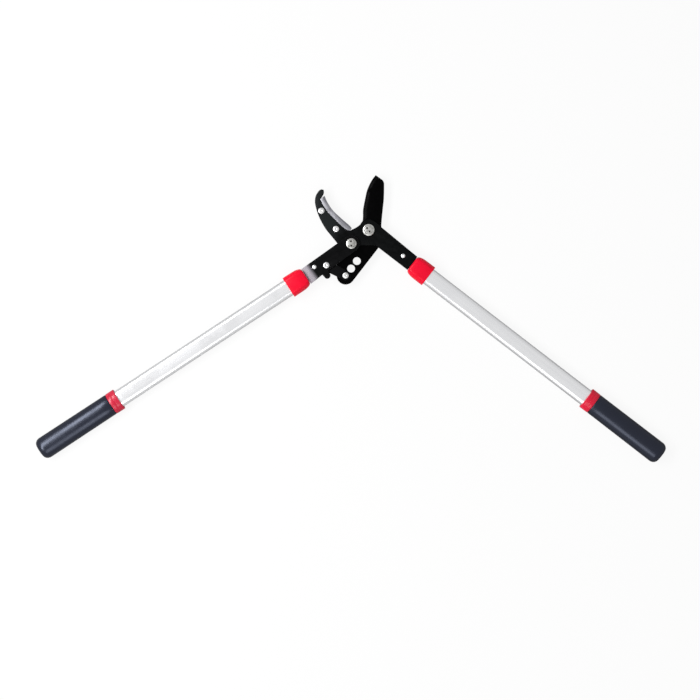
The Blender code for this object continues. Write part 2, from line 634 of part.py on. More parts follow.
def joggle(mesh, sign):
    """Step the arm in from the outer layer to the layer of the body plates."""
    axis = direction(LEFT_ARM_ANGLE)
    drop = ARM_INNER - PLATE_INNER
    steps = 6
    work = bmesh.new()
    work.from_mesh(mesh)
    for i in range(steps + 1):
        at = from_axis(HANDLE_PIVOT, LEFT_ARM_ANGLE, JOGGLE_START + JOGGLE_LENGTH * i / steps, 0.0)
        bmesh.ops.bisect_plane(work, geom=work.verts[:] + work.edges[:] + work.faces[:],
                               dist=1e-7, plane_co=flat(at), plane_no=flat(axis))
    for vert in work.verts:
        along = (vert.co.xy - HANDLE_PIVOT).dot(axis)
        share = min(max((along - JOGGLE_START) / JOGGLE_LENGTH, 0.0), 1.0)
        vert.co.z -= sign * drop * share * share * (3.0 - 2.0 * share)
    bmesh.ops.triangulate(work, faces=work.faces)
    work.to_mesh(mesh)
    work.free()


def link_slot():
    """The open pivot: a slot round the blade end of the link, in which the pin slides."""
    toward = LINK_ARM_PIVOT - LINK_BLADE_PIVOT
    middle = math.degrees(math.atan2(toward.y, toward.x))
    radius = toward.length + LINK_SLOT_RADIUS_GROWTH
    half = RIVET_SHANK_RADIUS + LINK_SLOT_PLAY
    start, end = middle - LINK_SLOT_HALF_ANGLE, middle + LINK_SLOT_HALF_ANGLE
    outer = arc(LINK_BLADE_PIVOT, radius + half, start, end, 6)
    inner = arc(LINK_BLADE_PIVOT, radius - half, end, start, 6)
    far_end = arc(LINK_BLADE_PIVOT + direction(end) * radius, half, end, end + 180.0, 8)
    near_end = arc(LINK_BLADE_PIVOT + direction(start) * radius, half,
                   start + 180.0, start + 360.0, 8)
    return outer + far_end[1:-1] + inner + near_end[1:-1]


def make_link():
    toward = LINK_BLADE_PIVOT - LINK_ARM_PIVOT
    angle = math.degrees(math.atan2(toward.y, toward.x))
    arm_open = math.degrees(math.asin(LINK_HALF_WIDTH / LINK_ARM_EYE_RADIUS))
    arm_eye = arc(LINK_ARM_PIVOT, LINK_ARM_EYE_RADIUS, angle + arm_open,
                  angle + 360.0 - arm_open, 18)
    blade_eye = arc(LINK_BLADE_PIVOT, LINK_BLADE_EYE_RADIUS,
                    angle - 180.0 + LINK_BLADE_EYE_OPEN, angle + 180.0 - LINK_BLADE_EYE_OPEN, 14)
    outlines = [arm_eye + blade_eye, link_slot(),
                circle(LINK_BLADE_PIVOT, RIVET_SHANK_RADIUS + GAP)]
    for name, low in (("link_front", PLATE_INNER), ("link_back", -PLATE_OUTER)):
        plate = outline_solid(name, outlines, low, low + PLATE_THICKNESS)
        place(plate, LINK_EMPTY, flat(-LINK_BLADE_PIVOT))
        paint(plate, BLACK_STEEL)


def make_pivots():
    """The bolts, nuts, bushes, rivets and spacers of the head."""
    washer_top = -PLATE_OUTER - GAP
    washer_bottom = washer_top - MAIN_WASHER_HEIGHT
    nut_top = washer_bottom - GAP
    nut_bottom = nut_top - MAIN_NUT_HEIGHT
    bolt("pivot_bolt", MAIN_SHANK_RADIUS, MAIN_HEAD_RADIUS, MAIN_HEAD_HEIGHT, PLATE_OUTER,
         nut_bottom, BASE, flat(MAIN_PIVOT))
    washer = cylinder_ring("pivot_washer", MAIN_WASHER_RADIUS, MAIN_SHANK_RADIUS + GAP,
                           washer_bottom, washer_top)
    nut("pivot_nut", MAIN_NUT_RADIUS, MAIN_SHANK_RADIUS + GAP, nut_top, nut_bottom, BASE,
        flat(MAIN_PIVOT))
    inner = MAIN_SHANK_RADIUS + GAP
    bush = cylinder_ring("blade_bush", inner + MAIN_BUSH_WALL, inner, -BLADE_HALF, BLADE_HALF)
    handle_nut_top = -ARM_OUTER - GAP
    handle_nut_bottom = handle_nut_top - HANDLE_NUT_HEIGHT
    bolt("handle_pivot_bolt", HANDLE_SHANK_RADIUS, HANDLE_HEAD_RADIUS, HANDLE_HEAD_HEIGHT,
         ARM_OUTER, handle_nut_bottom, HANDLE_EMPTY, (0.0, 0.0, 0.0))
    nut("handle_pivot_nut", HANDLE_NUT_RADIUS, HANDLE_SHANK_RADIUS + GAP, handle_nut_top,
        handle_nut_bottom, HANDLE_EMPTY, (0.0, 0.0, 0.0))
    inner = HANDLE_SHANK_RADIUS + GAP
    handle_bush = cylinder_ring("handle_pivot_bush", inner + HANDLE_BUSH_WALL, inner,
                                -BLADE_HALF, BLADE_HALF)
    inner = SMALL_RIVET_SHANK_RADIUS + GAP
    right_spacer = cylinder_ring("right_arm_spacer", inner + SPACER_WALL, inner,
                                 -BLADE_HALF, BLADE_HALF)
    left_spacer = cylinder_ring("left_arm_spacer", inner + SPACER_WALL, inner,
                                -PLATE_OUTER, PLATE_OUTER)
    place(washer, BASE, flat(MAIN_PIVOT))
    place(bush, BLADE_EMPTY)
    place(handle_bush, BASE, flat(HANDLE_PIVOT))
    place(right_spacer, BASE, flat(RIGHT_RIVET))
    place(left_spacer, HANDLE_EMPTY, flat(LEFT_RIVET - HANDLE_PIVOT))
    for piece in (washer, bush, handle_bush, right_spacer, left_spacer):
        paint(piece, BRIGHT_STEEL)
    rivet("right_arm_rivet", RIGHT_RIVET, SMALL_RIVET_SHANK_RADIUS, SMALL_RIVET_HEAD_RADIUS,
          SMALL_RIVET_HEAD_HEIGHT, PLATE_OUTER, BASE, MAIN_PIVOT)
    rivet("left_arm_rivet", LEFT_RIVET, SMALL_RIVET_SHANK_RADIUS, SMALL_RIVET_HEAD_RADIUS,
          SMALL_RIVET_HEAD_HEIGHT, ARM_OUTER, HANDLE_EMPTY, HANDLE_PIVOT)
    rivet("link_rivet_arm", LINK_ARM_PIVOT, RIVET_SHANK_RADIUS, RIVET_HEAD_RADIUS,
          RIVET_HEAD_HEIGHT, ARM_OUTER, HANDLE_EMPTY, HANDLE_PIVOT)
    rivet("link_rivet_blade", LINK_BLADE_PIVOT, RIVET_SHANK_RADIUS, RIVET_HEAD_RADIUS,
          RIVET_HEAD_HEIGHT, PLATE_OUTER, BLADE_EMPTY, MAIN_PIVOT)


def make_handle(side, empty, grip_shift):
    """Tang block, plug, cross rivet, tube, ferrule, collar and grip of one handle."""
    tube_end = FERRULE_LENGTH + TUBE_SHOWN + COLLAR_LENGTH + GAP + TUBE_IN_GRIP
    collar_start = FERRULE_LENGTH + TUBE_SHOWN - grip_shift
    grip_start = collar_start + COLLAR_LENGTH + GAP

    half_width = TANG_HALF_WIDTH - TANG_BLOCK_INSET
    block_outline = [Vector((-half_width, -BLADE_HALF)), Vector((half_width, -BLADE_HALF)),
                     Vector((half_width, BLADE_HALF)), Vector((-half_width, BLADE_HALF))]
    block = outline_solid(side + "_tang_block", [block_outline], TANG_BLOCK_START, TANG_LENGTH)

    inner_width = TUBE_WIDTH - 2 * TUBE_WALL
    inner_height = TUBE_HEIGHT - 2 * TUBE_WALL
    outer = flat_oval(TUBE_WIDTH, TUBE_HEIGHT, TUBE_FLAT)
    inner = flat_oval(inner_width, inner_height, TUBE_FLAT)
    tube = outline_solid(side + "_tube", [outer, inner], TUBE_START, tube_end)

    plug_outline = flat_oval(inner_width - 2 * GAP, inner_height - 2 * GAP, TUBE_FLAT)
    half_width = TANG_HALF_WIDTH + GAP
    slot = [Vector((-half_width, -TANG_SLOT_HALF)), Vector((half_width, -TANG_SLOT_HALF)),
            Vector((half_width, TANG_SLOT_HALF)), Vector((-half_width, TANG_SLOT_HALF))]
    plug = outline_solid(side + "_tube_plug", [plug_outline, slot], TUBE_START,
                         TUBE_START + PLUG_LENGTH)

    ferrule = loft(side + "_ferrule", ferrule_sections())
    bore = oval_cutter(side + "_ferrule_bore", TUBE_WIDTH + 2 * GAP, TUBE_HEIGHT + 2 * GAP,
                       TUBE_FLAT, TUBE_START - GAP, FERRULE_LENGTH * 2)
    mouth = outline_solid(side + "_ferrule_slot", [slot], -TUBE_START, TUBE_START, CUTTERS)
    collar = loft(side + "_grip_collar", collar_sections(collar_start))
    collar_bore = oval_cutter(side + "_collar_bore", TUBE_WIDTH + 2 * GAP,
                              TUBE_HEIGHT + 2 * GAP, TUBE_FLAT, FERRULE_LENGTH, tube_end)
    grip = loft(side + "_grip", grip_sections(grip_start))
    grip_bore = oval_cutter(side + "_grip_bore", TUBE_WIDTH + 2 * GAP, TUBE_HEIGHT + 2 * GAP,
                            TUBE_FLAT, collar_start, tube_end + GAP)

    hole = outline_solid(side + "_tang_rivet_hole", [circle((0.0, 0.0), TANG_RIVET_RADIUS + GAP)],
                         -TUBE_HEIGHT, TUBE_HEIGHT, CUTTERS)
    cross = cross_rivet(side + "_tang_rivet")
    for piece in (block, tube, plug, ferrule, bore, mouth, collar, collar_bore, grip, grip_bore):
        place(piece, empty)
    for piece in (hole, cross):
        place(piece, empty, (0.0, 0.0, TANG_RIVET_ALONG))
        piece.rotation_euler = (math.radians(-90.0), 0.0, 0.0)
    for piece in (block, tube, plug):
        join_or_cut(piece, hole, "DIFFERENCE")
    join_or_cut(ferrule, bore, "DIFFERENCE")
    join_or_cut(ferrule, mouth, "DIFFERENCE")
    join_or_cut(collar, collar_bore, "DIFFERENCE")
    join_or_cut(grip, grip_bore, "DIFFERENCE")
    finishes = ((block, BRIGHT_STEEL), (tube, ALUMINIUM), (plug, GREY_PLASTIC),
                (cross, BRIGHT_STEEL), (ferrule, RED_PLASTIC), (collar, RED_PLASTIC),
                (grip, GRIP_PLASTIC))
    for piece, finish in finishes:
        paint(piece, finish)


def cross_rivet(name):
    """A rivet with flush ends, from one flat face of the tube to the other."""
    half = TUBE_HEIGHT / 2
    profile = [(0.0, half), (TANG_RIVET_RADIUS, half), (TANG_RIVET_RADIUS, -half), (0.0, -half)]
    return turned_solid(name, profile)


def ferrule_sections():
    """Distance, width and height: a bulging shoulder, widest at the tube's end."""
    wider = FERRULE_SHOULDER_WIDTH - FERRULE_MOUTH_WIDTH
    higher = FERRULE_SHOULDER_HEIGHT - FERRULE_MOUTH_HEIGHT
    sections = []
    steps = 5
    for i in range(steps + 1):
        turn = math.pi / 2 * i / steps
        sections.append((FERRULE_SHOULDER_LENGTH * (1.0 - math.cos(turn)),
                         FERRULE_MOUTH_WIDTH + wider * math.sin(turn),
                         FERRULE_MOUTH_HEIGHT + higher * math.sin(turn)))
    sections.append((FERRULE_LENGTH - CHAMFER, FERRULE_WIDTH, GRIP_HEIGHT))
    sections.append((FERRULE_LENGTH, FERRULE_WIDTH - CHAMFER, GRIP_HEIGHT - CHAMFER))
    return sections


def collar_sections(start):
    """A short collar, widest at the tube's side and tapering towards the grip."""
    end_width = COLLAR_WIDTH - COLLAR_TAPER
    end_height = GRIP_HEIGHT - CHAMFER
    return [(start, COLLAR_WIDTH - CHAMFER, GRIP_HEIGHT - CHAMFER),
            (start + CHAMFER, COLLAR_WIDTH, GRIP_HEIGHT),
            (start + COLLAR_LENGTH / 2, COLLAR_WIDTH - COLLAR_TAPER / 4, GRIP_HEIGHT),
            (start + COLLAR_LENGTH - 2 * CHAMFER, end_width, end_height),
            (start + COLLAR_LENGTH, end_width - 2 * CHAMFER, end_height - 2 * CHAMFER)]


def grip_sections(start):
    """A grip that widens towards its rounded end and keeps flat faces above and below."""
    straight = GRIP_LENGTH - GRIP_END_ROUNDING
    middle_width = (GRIP_MOUTH_WIDTH + GRIP_END_WIDTH) / 2
    sections = [(start, GRIP_MOUTH_WIDTH - 2 * CHAMFER, GRIP_HEIGHT - 2 * CHAMFER),
                (start + 2 * CHAMFER, GRIP_MOUTH_WIDTH, GRIP_HEIGHT),
                (start + straight / 2, middle_width, GRIP_HEIGHT)]
    steps = 6
    for i in range(steps + 1):
        turn = math.pi / 2 * i / steps
        closed_in = 1.0 - math.cos(turn)
        sections.append((start + straight + GRIP_END_ROUNDING * math.sin(turn),
                         GRIP_END_WIDTH - GRIP_END_NARROWING * closed_in,
                         GRIP_HEIGHT - GRIP_END_LOWERING * closed_in))
    return sections


def stand_on_ground():
    """Move the base so that the tool's box is centred on the origin and stands on Z = 0."""
    bpy.context.view_layer.update()
    depsgraph = bpy.context.evaluated_depsgraph_get()
    low = Vector((math.inf,) * 3)
    high = Vector((-math.inf,) * 3)
    for piece in PARTS.objects:
        if piece.type != "MESH":
            continue
        evaluated = piece.evaluated_get(depsgraph)
        for vert in evaluated.data.vertices:
            point = piece.matrix_world @ vert.co
            low = Vector(map(min, low, point))
            high = Vector(map(max, high, point))
    BASE.location = (-(low.x + high.x) / 2, -(low.y + high.y) / 2, -low.z)
    bpy.context.view_layer.update()


make_body_plates()
make_anvil()
make_blade()
make_left_arm()
make_link()
make_pivots()
make_handle("right", RIGHT_HANDLE, RIGHT_GRIP_SHIFT)
make_handle("left", LEFT_HANDLE, 0.0)
stand_on_ground()
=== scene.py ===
# %% [markdown]
# # Dressing a compound action lopper
# The tool lies flat on a pale floor with its jaws open, and the camera looks straight down on
# it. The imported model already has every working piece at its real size. This lesson gives each
# piece the rounded edges, pressed details and finish of the real one, and leaves the sizes and
# the joints alone.

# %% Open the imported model
import json
import math
import bpy
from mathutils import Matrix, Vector

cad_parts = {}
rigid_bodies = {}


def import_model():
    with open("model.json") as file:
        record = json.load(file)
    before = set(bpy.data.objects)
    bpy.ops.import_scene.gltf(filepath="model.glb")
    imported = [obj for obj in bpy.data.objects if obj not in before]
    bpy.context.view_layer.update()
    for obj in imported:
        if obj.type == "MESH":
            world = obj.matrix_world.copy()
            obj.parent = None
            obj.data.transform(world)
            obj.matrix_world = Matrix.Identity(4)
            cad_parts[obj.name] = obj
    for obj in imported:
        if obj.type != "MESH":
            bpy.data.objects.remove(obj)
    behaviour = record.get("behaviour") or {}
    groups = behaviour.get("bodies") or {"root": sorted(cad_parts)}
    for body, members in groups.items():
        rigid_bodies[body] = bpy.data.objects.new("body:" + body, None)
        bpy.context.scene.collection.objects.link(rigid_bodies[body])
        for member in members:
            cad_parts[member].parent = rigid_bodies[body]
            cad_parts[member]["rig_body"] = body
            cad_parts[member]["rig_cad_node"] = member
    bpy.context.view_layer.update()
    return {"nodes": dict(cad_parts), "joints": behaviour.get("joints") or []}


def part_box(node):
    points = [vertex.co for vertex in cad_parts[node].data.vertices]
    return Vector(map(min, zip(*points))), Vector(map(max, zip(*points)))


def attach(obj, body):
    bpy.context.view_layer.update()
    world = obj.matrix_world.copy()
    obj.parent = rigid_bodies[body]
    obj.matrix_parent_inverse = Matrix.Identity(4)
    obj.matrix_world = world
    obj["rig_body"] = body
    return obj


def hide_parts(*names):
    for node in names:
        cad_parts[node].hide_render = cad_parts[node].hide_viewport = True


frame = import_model()

# %% [markdown]
# ## The lines that everything is placed by
# The joints of the model say where the pivots are. Each handle is straight, so it needs only
# the point where its arm enters the ferrule and the direction that it takes from there. All
# of it is worked out from two pivots, three angles and two lengths.

# %% Pivots and handle lines
pivots = {joint["name"]: Vector(joint["pos_m"]) for joint in frame["joints"]}
MAIN_PIVOT = pivots["blade_hinge"]
HANDLE_PIVOT = pivots["handle_hinge"]
MIDDLE = MAIN_PIVOT.z                   # height of the blade's mid plane
PLAY = 0.0003                           # between pieces that touch or slide

RIGHT_ANGLE = -37.6                     # directions, in degrees from +X
LEFT_ARM_ANGLE = 215.4
LEFT_ANGLE = 213.3
RIGHT_ARM_LENGTH = 0.0938               # from the pivot to the mouth of the ferrule
LEFT_ARM_LENGTH = 0.0950


def direction(angle):
    return Vector((math.cos(math.radians(angle)), math.sin(math.radians(angle)), 0.0))


HANDLES = {
    "right": (MAIN_PIVOT + direction(RIGHT_ANGLE) * RIGHT_ARM_LENGTH, RIGHT_ANGLE, "right_side"),
    "left": (HANDLE_PIVOT + direction(LEFT_ARM_ANGLE) * LEFT_ARM_LENGTH, LEFT_ANGLE, "left_handle"),
}
for side, (mouth, angle, body) in HANDLES.items():
    print(side, "handle starts at", [round(v, 4) for v in mouth])

# %% [markdown]
# ## Camera
# The photograph was taken from straight above through a long lens: the tool shows no side
# faces, and both handles have the same width from end to end. A lens of 90 mm at about three
# metres does the same. The camera's place is set by one scale, the width of the picture on
# the plane of the tool.

# %% Camera above the tool
PICTURE_WIDTH = 1.190                   # width of the view at the blade's height, in metres
LENS = 90.0                             # in millimetres
SENSOR = 36.0
PIVOT_IN_PHOTO = Vector((368.5, 230.2))  # the main pivot in the 700 pixel photograph
PHOTO_SIZE = 700.0

pixel = PICTURE_WIDTH / PHOTO_SIZE
centre = MAIN_PIVOT + Vector((PHOTO_SIZE / 2 - PIVOT_IN_PHOTO.x,
                              PIVOT_IN_PHOTO.y - PHOTO_SIZE / 2, 0.0)) * pixel
bpy.ops.object.camera_add(location=centre + Vector((0.0, 0.0, PICTURE_WIDTH * LENS / SENSOR)),
                          rotation=(0.0, 0.0, 0.0))
camera = bpy.context.object
camera.name = "camera"
camera.data.lens = LENS
camera.data.sensor_width = SENSOR
camera.data.clip_end = 100.0
bpy.context.scene.camera = camera
print("camera", round(camera.location.z, 3), "m above the floor")

# %% [markdown]
# ## Floor and light
# The background of the photograph is plain white and the object has almost no shadow. The
# floor glows for the camera only, and takes the rest of its brightness from the lamps, so
# that a soft shadow stays where the grips touch it.

# %% Pale floor
FLOOR_SIZE = 14.0
FLOOR_DROP = 0.0002                     # keeps the floor clear of the grips' flat undersides
FLOOR_TONE = 0.93
FLOOR_GLOW = 0.90                       # share of the floor's brightness that has no shadow
FLOOR_IN_MIRRORS = 0.48                 # bare metal shows the floor as grey edge lines

bpy.ops.object.select_all(action="DESELECT")
bpy.ops.mesh.primitive_plane_add(size=FLOOR_SIZE, location=(0.0, 0.0, -FLOOR_DROP))
floor = bpy.context.object
floor.name = "floor"
floor_paint = bpy.data.materials.new("pale_floor")
floor_paint.use_nodes = True
nodes, links = floor_paint.node_tree.nodes, floor_paint.node_tree.links
matt = nodes["Principled BSDF"]
matt.inputs["Roughness"].default_value = 0.9
glow = nodes.new("ShaderNodeEmission")
seen = nodes.new("ShaderNodeLightPath")
share = nodes.new("ShaderNodeMath")
share.operation = "MULTIPLY"
share.inputs[1].default_value = FLOOR_GLOW
blend = nodes.new("ShaderNodeMixShader")
in_mirrors = nodes.new("ShaderNodeMix")
in_mirrors.data_type = "RGBA"
pale, grey = (s for s in in_mirrors.inputs if s.type == "RGBA")
pale.default_value = (FLOOR_TONE, FLOOR_TONE, FLOOR_TONE, 1.0)
grey.default_value = (FLOOR_IN_MIRRORS, FLOOR_IN_MIRRORS, FLOOR_IN_MIRRORS, 1.0)
links.new(seen.outputs["Is Glossy Ray"], in_mirrors.inputs["Factor"])
floor_tone = next(s for s in in_mirrors.outputs if s.type == "RGBA")
links.new(floor_tone, matt.inputs["Base Color"])
links.new(seen.outputs["Is Camera Ray"], share.inputs[0])
links.new(share.outputs[0], blend.inputs["Fac"])
links.new(matt.outputs["BSDF"], blend.inputs[1])
links.new(glow.outputs["Emission"], blend.inputs[2])
links.new(blend.outputs["Shader"], nodes["Material Output"].inputs["Surface"])
floor.data.materials.append(floor_paint)

# %% [markdown]
# The light is a pale room and two soft lamps, and the photograph tells where they are. A long
# handle only mirrors what lies square to its length. The left grip has a wide bright band above
# its middle line and a faint one below, and the right grip has a narrow one below: that fits a
# large lamp up on the left and a smaller one above the lower edge of the picture. Bare metal
# mirrors the room itself, and its left flanks are the brighter ones, so the mirrored room is
# palest on the left.

# %% Room light
ROOM_AS_LIGHT = 0.33
ROOM_MIRRORED_RIGHT = 0.61
ROOM_MIRRORED_LEFT = 0.85
LEFT_SIDE = Vector((-0.96, -0.10, 0.26))  # where the mirrored room is palest

world = bpy.data.worlds.new("pale_room")
bpy.context.scene.world = world
world.use_nodes = True
nodes, links = world.node_tree.nodes, world.node_tree.links
room = nodes["Background"]
room.inputs["Color"].default_value = (1.0, 1.0, 1.0, 1.0)
outlook = nodes.new("ShaderNodeTexCoord")
towards_left = nodes.new("ShaderNodeVectorMath")
towards_left.operation = "DOT_PRODUCT"
towards_left.inputs[1].default_value = LEFT_SIDE
mirrored = nodes.new("ShaderNodeMapRange")
mirrored.inputs["From Min"].default_value = -1.0
mirrored.inputs["To Min"].default_value = ROOM_MIRRORED_RIGHT
mirrored.inputs["To Max"].default_value = ROOM_MIRRORED_LEFT
seen = nodes.new("ShaderNodeLightPath")
for_mirrors = nodes.new("ShaderNodeMix")
for_mirrors.inputs["A"].default_value = ROOM_AS_LIGHT
for_camera = nodes.new("ShaderNodeMix")
for_camera.inputs["B"].default_value = 1.0
links.new(outlook.outputs["Generated"], towards_left.inputs[0])
links.new(towards_left.outputs["Value"], mirrored.inputs["Value"])
links.new(seen.outputs["Is Glossy Ray"], for_mirrors.inputs["Factor"])
links.new(mirrored.outputs["Result"], for_mirrors.inputs["B"])
links.new(seen.outputs["Is Camera Ray"], for_camera.inputs["Factor"])
links.new(for_mirrors.outputs["Result"], for_camera.inputs["A"])
links.new(for_camera.outputs["Result"], room.inputs["Strength"])

# %% Two soft lamps


def add_lamp(name, place, length, depth, power):
    """A rectangular lamp at a place, aimed at the middle of the picture."""
    away = Vector(place) - centre
    bpy.ops.object.light_add(type="AREA", location=place)
    lamp = bpy.context.object
    lamp.name = name
    lamp.data.shape = "RECTANGLE"
    lamp.data.size = length
    lamp.data.size_y = depth
    lamp.data.energy = power
    lamp.rotation_mode = "QUATERNION"
    lamp.rotation_quaternion = away.to_track_quat("Z", "Y")


add_lamp("left_lamp", (-1.25, 0.15, 1.5), length=2.0, depth=0.55, power=34.0)
add_lamp("lower_lamp", (-0.08, -1.14, 1.5), length=0.85, depth=0.7, power=5.8)

# %% [markdown]
# ## Tools of the workshop
# Three ways of shaping cover the whole tool. Handle pieces are oval bars, so they grow from
# one oval by extruding and resizing it. Bolts and rivets are turned, so they are a profile
# that is spun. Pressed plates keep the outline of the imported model: a copy is cleaned and its
# sharp edges are rounded. First come a few helpers that keep track of the selection.

# %% Selection helpers


def only(piece):
    """Make one piece the selected and active object, in object mode."""
    if bpy.context.mode != "OBJECT":
        bpy.ops.object.mode_set(mode="OBJECT")
    bpy.ops.object.select_all(action="DESELECT")
    piece.select_set(True)
    bpy.context.view_layer.objects.active = piece


def pick(piece, kind, test):
    """In edit mode, select the vertices, edges or faces of a piece that pass a test."""
    only(piece)
    mesh = piece.data
    for part in (mesh.vertices, mesh.edges, mesh.polygons):
        part.foreach_set("select", [False] * len(part))
    if kind == "VERT":
        for vertex in mesh.vertices:
            vertex.select = test(vertex.co)
    elif kind == "EDGE":
        for edge in mesh.edges:
            edge.select = test(*(mesh.vertices[i].co for i in edge.vertices))
    else:
        for face in mesh.polygons:
            face.select = test(face.center, face.normal)
    bpy.context.tool_settings.mesh_select_mode = [kind == name for name in ("VERT", "EDGE", "FACE")]
    bpy.ops.object.mode_set(mode="EDIT")


def apply_modifier(piece, kind, **values):
    """Add a modifier, set its values and apply it."""
    only(piece)
    modifier = piece.modifiers.new(kind.lower(), kind)
    for name, value in values.items():
        setattr(modifier, name, value)
    bpy.ops.object.modifier_apply(modifier=modifier.name)


def cut(piece, tool, operation="DIFFERENCE"):
    """Boolean with a tool, which is used up."""
    apply_modifier(piece, "BOOLEAN", operation=operation, solver="EXACT", object=tool)
    bpy.data.objects.remove(tool, do_unlink=True)


def close_and_turn_out(piece):
    """Merge doubled vertices and point every face outwards."""
    pick(piece, "VERT", lambda place: True)
    bpy.ops.mesh.remove_doubles(threshold=1e-6)
    bpy.ops.mesh.normals_make_consistent(inside=False)
    bpy.ops.object.mode_set(mode="OBJECT")


def shade(piece, angle):
    only(piece)
    bpy.ops.object.shade_smooth_by_angle(angle=math.radians(angle))


# %% [markdown]
# An oval bar starts as a filled circle. It has 66 sides, so that none of its corners lies on
# the middle line, and its two halves can be pulled apart to leave flat faces above and below,
# as on an extruded tube, or below only, where the top is round. After that the end face is
# extruded and resized from section to section. The bench runs along X, and the last step
# carries the piece to the tool.

# %% Oval bars
OVAL_SIDES = 66


def oval_bar(name, sections, flat, round_top=False):
    """A bar along X through (distance, width, height) sections. Its top may be round."""
    distance, width, height = sections[0]
    bpy.ops.object.select_all(action="DESELECT")
    bpy.ops.mesh.primitive_circle_add(vertices=OVAL_SIDES, radius=height / 2,
                                      fill_type="NGON", rotation=(0.0, math.pi / 2, 0.0))
    bar = bpy.context.object
    bar.name = name
    bpy.ops.object.transform_apply(location=False, rotation=True, scale=False)
    for upper in (False, True):
        flat_here = 0.0 if upper and round_top else flat
        pick(bar, "VERT", lambda place: (place.z > -1e-6) == upper)
        bpy.ops.transform.resize(value=(1.0, (width - flat_here) / height, 1.0),
                                 center_override=(0.0, 0.0, 0.0))
        for side in (1.0, -1.0):
            pick(bar, "VERT", lambda place: (place.z > -1e-6) == upper and place.y * side > 0.0)
            bpy.ops.transform.translate(value=(0.0, side * flat_here / 2, 0.0))
    pick(bar, "VERT", lambda place: True)
    bpy.ops.transform.translate(value=(distance, 0.0, 0.0))
    pick(bar, "FACE", lambda place, normal: True)
    for (x0, w0, h0), (x1, w1, h1) in zip(sections, sections[1:]):
        bpy.ops.mesh.extrude_region_move(TRANSFORM_OT_translate={"value": (x1 - x0, 0.0, 0.0)})
        bpy.ops.transform.resize(value=(1.0, w1 / w0, h1 / h0), center_override=(x1, 0.0, 0.0))
    close_and_turn_out(bar)
    return bar


def carry_to_handle(piece, side):
    """Move a finished piece from the bench onto its handle, with its place in its mesh."""
    mouth, angle, body = HANDLES[side]
    only(piece)
    piece.location = mouth
    piece.rotation_euler.z = math.radians(angle)
    bpy.ops.object.transform_apply(location=True, rotation=True, scale=True)
    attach(piece, body)


# %% [markdown]
# A turned piece starts as a plane whose corners are merged into one point. That point is
# extruded along the profile, and the profile is spun round the piece's axis.

# %% Turned pieces
TURNED_STEPS = 72


def turned(name, centre, profile):
    """A profile of (radius, height) points, spun round an upright axis."""
    bpy.ops.object.select_all(action="DESELECT")
    bpy.ops.mesh.primitive_plane_add(size=0.001)
    piece = bpy.context.object
    piece.name = name
    pick(piece, "VERT", lambda place: True)
    bpy.ops.mesh.merge(type="CENTER")
    bpy.ops.transform.translate(value=(profile[0][0], 0.0, profile[0][1]))
    for (r0, z0), (r1, z1) in zip(profile, profile[1:]):
        bpy.ops.mesh.extrude_region_move(
            TRANSFORM_OT_translate={"value": (r1 - r0, 0.0, z1 - z0)})
    bpy.ops.mesh.select_all(action="SELECT")
    bpy.ops.mesh.spin(steps=TURNED_STEPS, angle=2 * math.pi, center=(0.0, 0.0, 0.0),
                      axis=(0.0, 0.0, 1.0))
    close_and_turn_out(piece)
    only(piece)
    piece.location = centre
    bpy.ops.object.transform_apply(location=True, rotation=True, scale=True)
    return piece


def curve_over(radius, low, height, steps=8):
    """Points of a dome's half profile, from just beside its top to its rim."""
    return [(radius * math.sin(math.pi / 2 * i / steps),
             low + height * math.cos(math.pi / 2 * i / steps)) for i in range(1, steps + 1)]


# %% [markdown]
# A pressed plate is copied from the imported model. Its triangles are merged back into flat
# faces, and a small bevel rounds what the press and the tumbling barrel round on a real plate.
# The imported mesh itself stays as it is, and the copy stands for it.

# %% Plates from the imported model


def rounded_copy(node, name, edge, segments=2):
    """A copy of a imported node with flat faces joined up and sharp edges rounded."""
    only(frame["nodes"][node])
    bpy.ops.object.duplicate()
    piece = bpy.context.object
    piece.name = name
    piece.parent = None
    for key in list(piece.keys()):
        del piece[key]
    piece.data.materials.clear()
    pick(piece, "VERT", lambda place: True)
    bpy.ops.mesh.remove_doubles(threshold=2e-6)
    bpy.ops.mesh.dissolve_limited(angle_limit=math.radians(0.6))
    bpy.ops.object.mode_set(mode="OBJECT")
    apply_modifier(piece, "BEVEL", width=edge, segments=segments, limit_method="ANGLE",
                   angle_limit=math.radians(38.0), use_clamp_overlap=True)
    shade(piece, 32.0)
    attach(piece, frame["nodes"][node]["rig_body"])
    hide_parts(node)
    return piece


# %% [markdown]
# ## Shader groups
# Five effects come back in the finishes: a fine grain, streaks along one direction, worn
# edges, the uneven gloss that hands leave, and painted shade in hollows. Each is a group of
# nodes that puts out masks and heights, and each finish places it with its own values.

# %% Group helper


def new_group(name, inputs, outputs):
    """An empty shader group with float or vector inputs and float outputs."""
    group = bpy.data.node_groups.new(name, "ShaderNodeTree")
    for label, kind, value in inputs:
        socket = group.interface.new_socket(label, in_out="INPUT", socket_type=kind)
        if value is not None:
            socket.default_value = value
    for label in outputs:
        group.interface.new_socket(label, in_out="OUTPUT", socket_type="NodeSocketFloat")
    entry = group.nodes.new("NodeGroupInput")
    leave = group.nodes.new("NodeGroupOutput")
    return group, entry, leave


def noise(tree, vector, scale, detail, roughness=0.55):
    """A noise texture whose scale is a number or a socket."""
    texture = tree.nodes.new("ShaderNodeTexNoise")
    texture.inputs["Detail"].default_value = detail
    texture.inputs["Roughness"].default_value = roughness
    tree.links.new(vector, texture.inputs["Vector"])
    if isinstance(scale, (int, float)):
        texture.inputs["Scale"].default_value = scale
    else:
        tree.links.new(scale, texture.inputs["Scale"])
    return texture.outputs["Fac"]


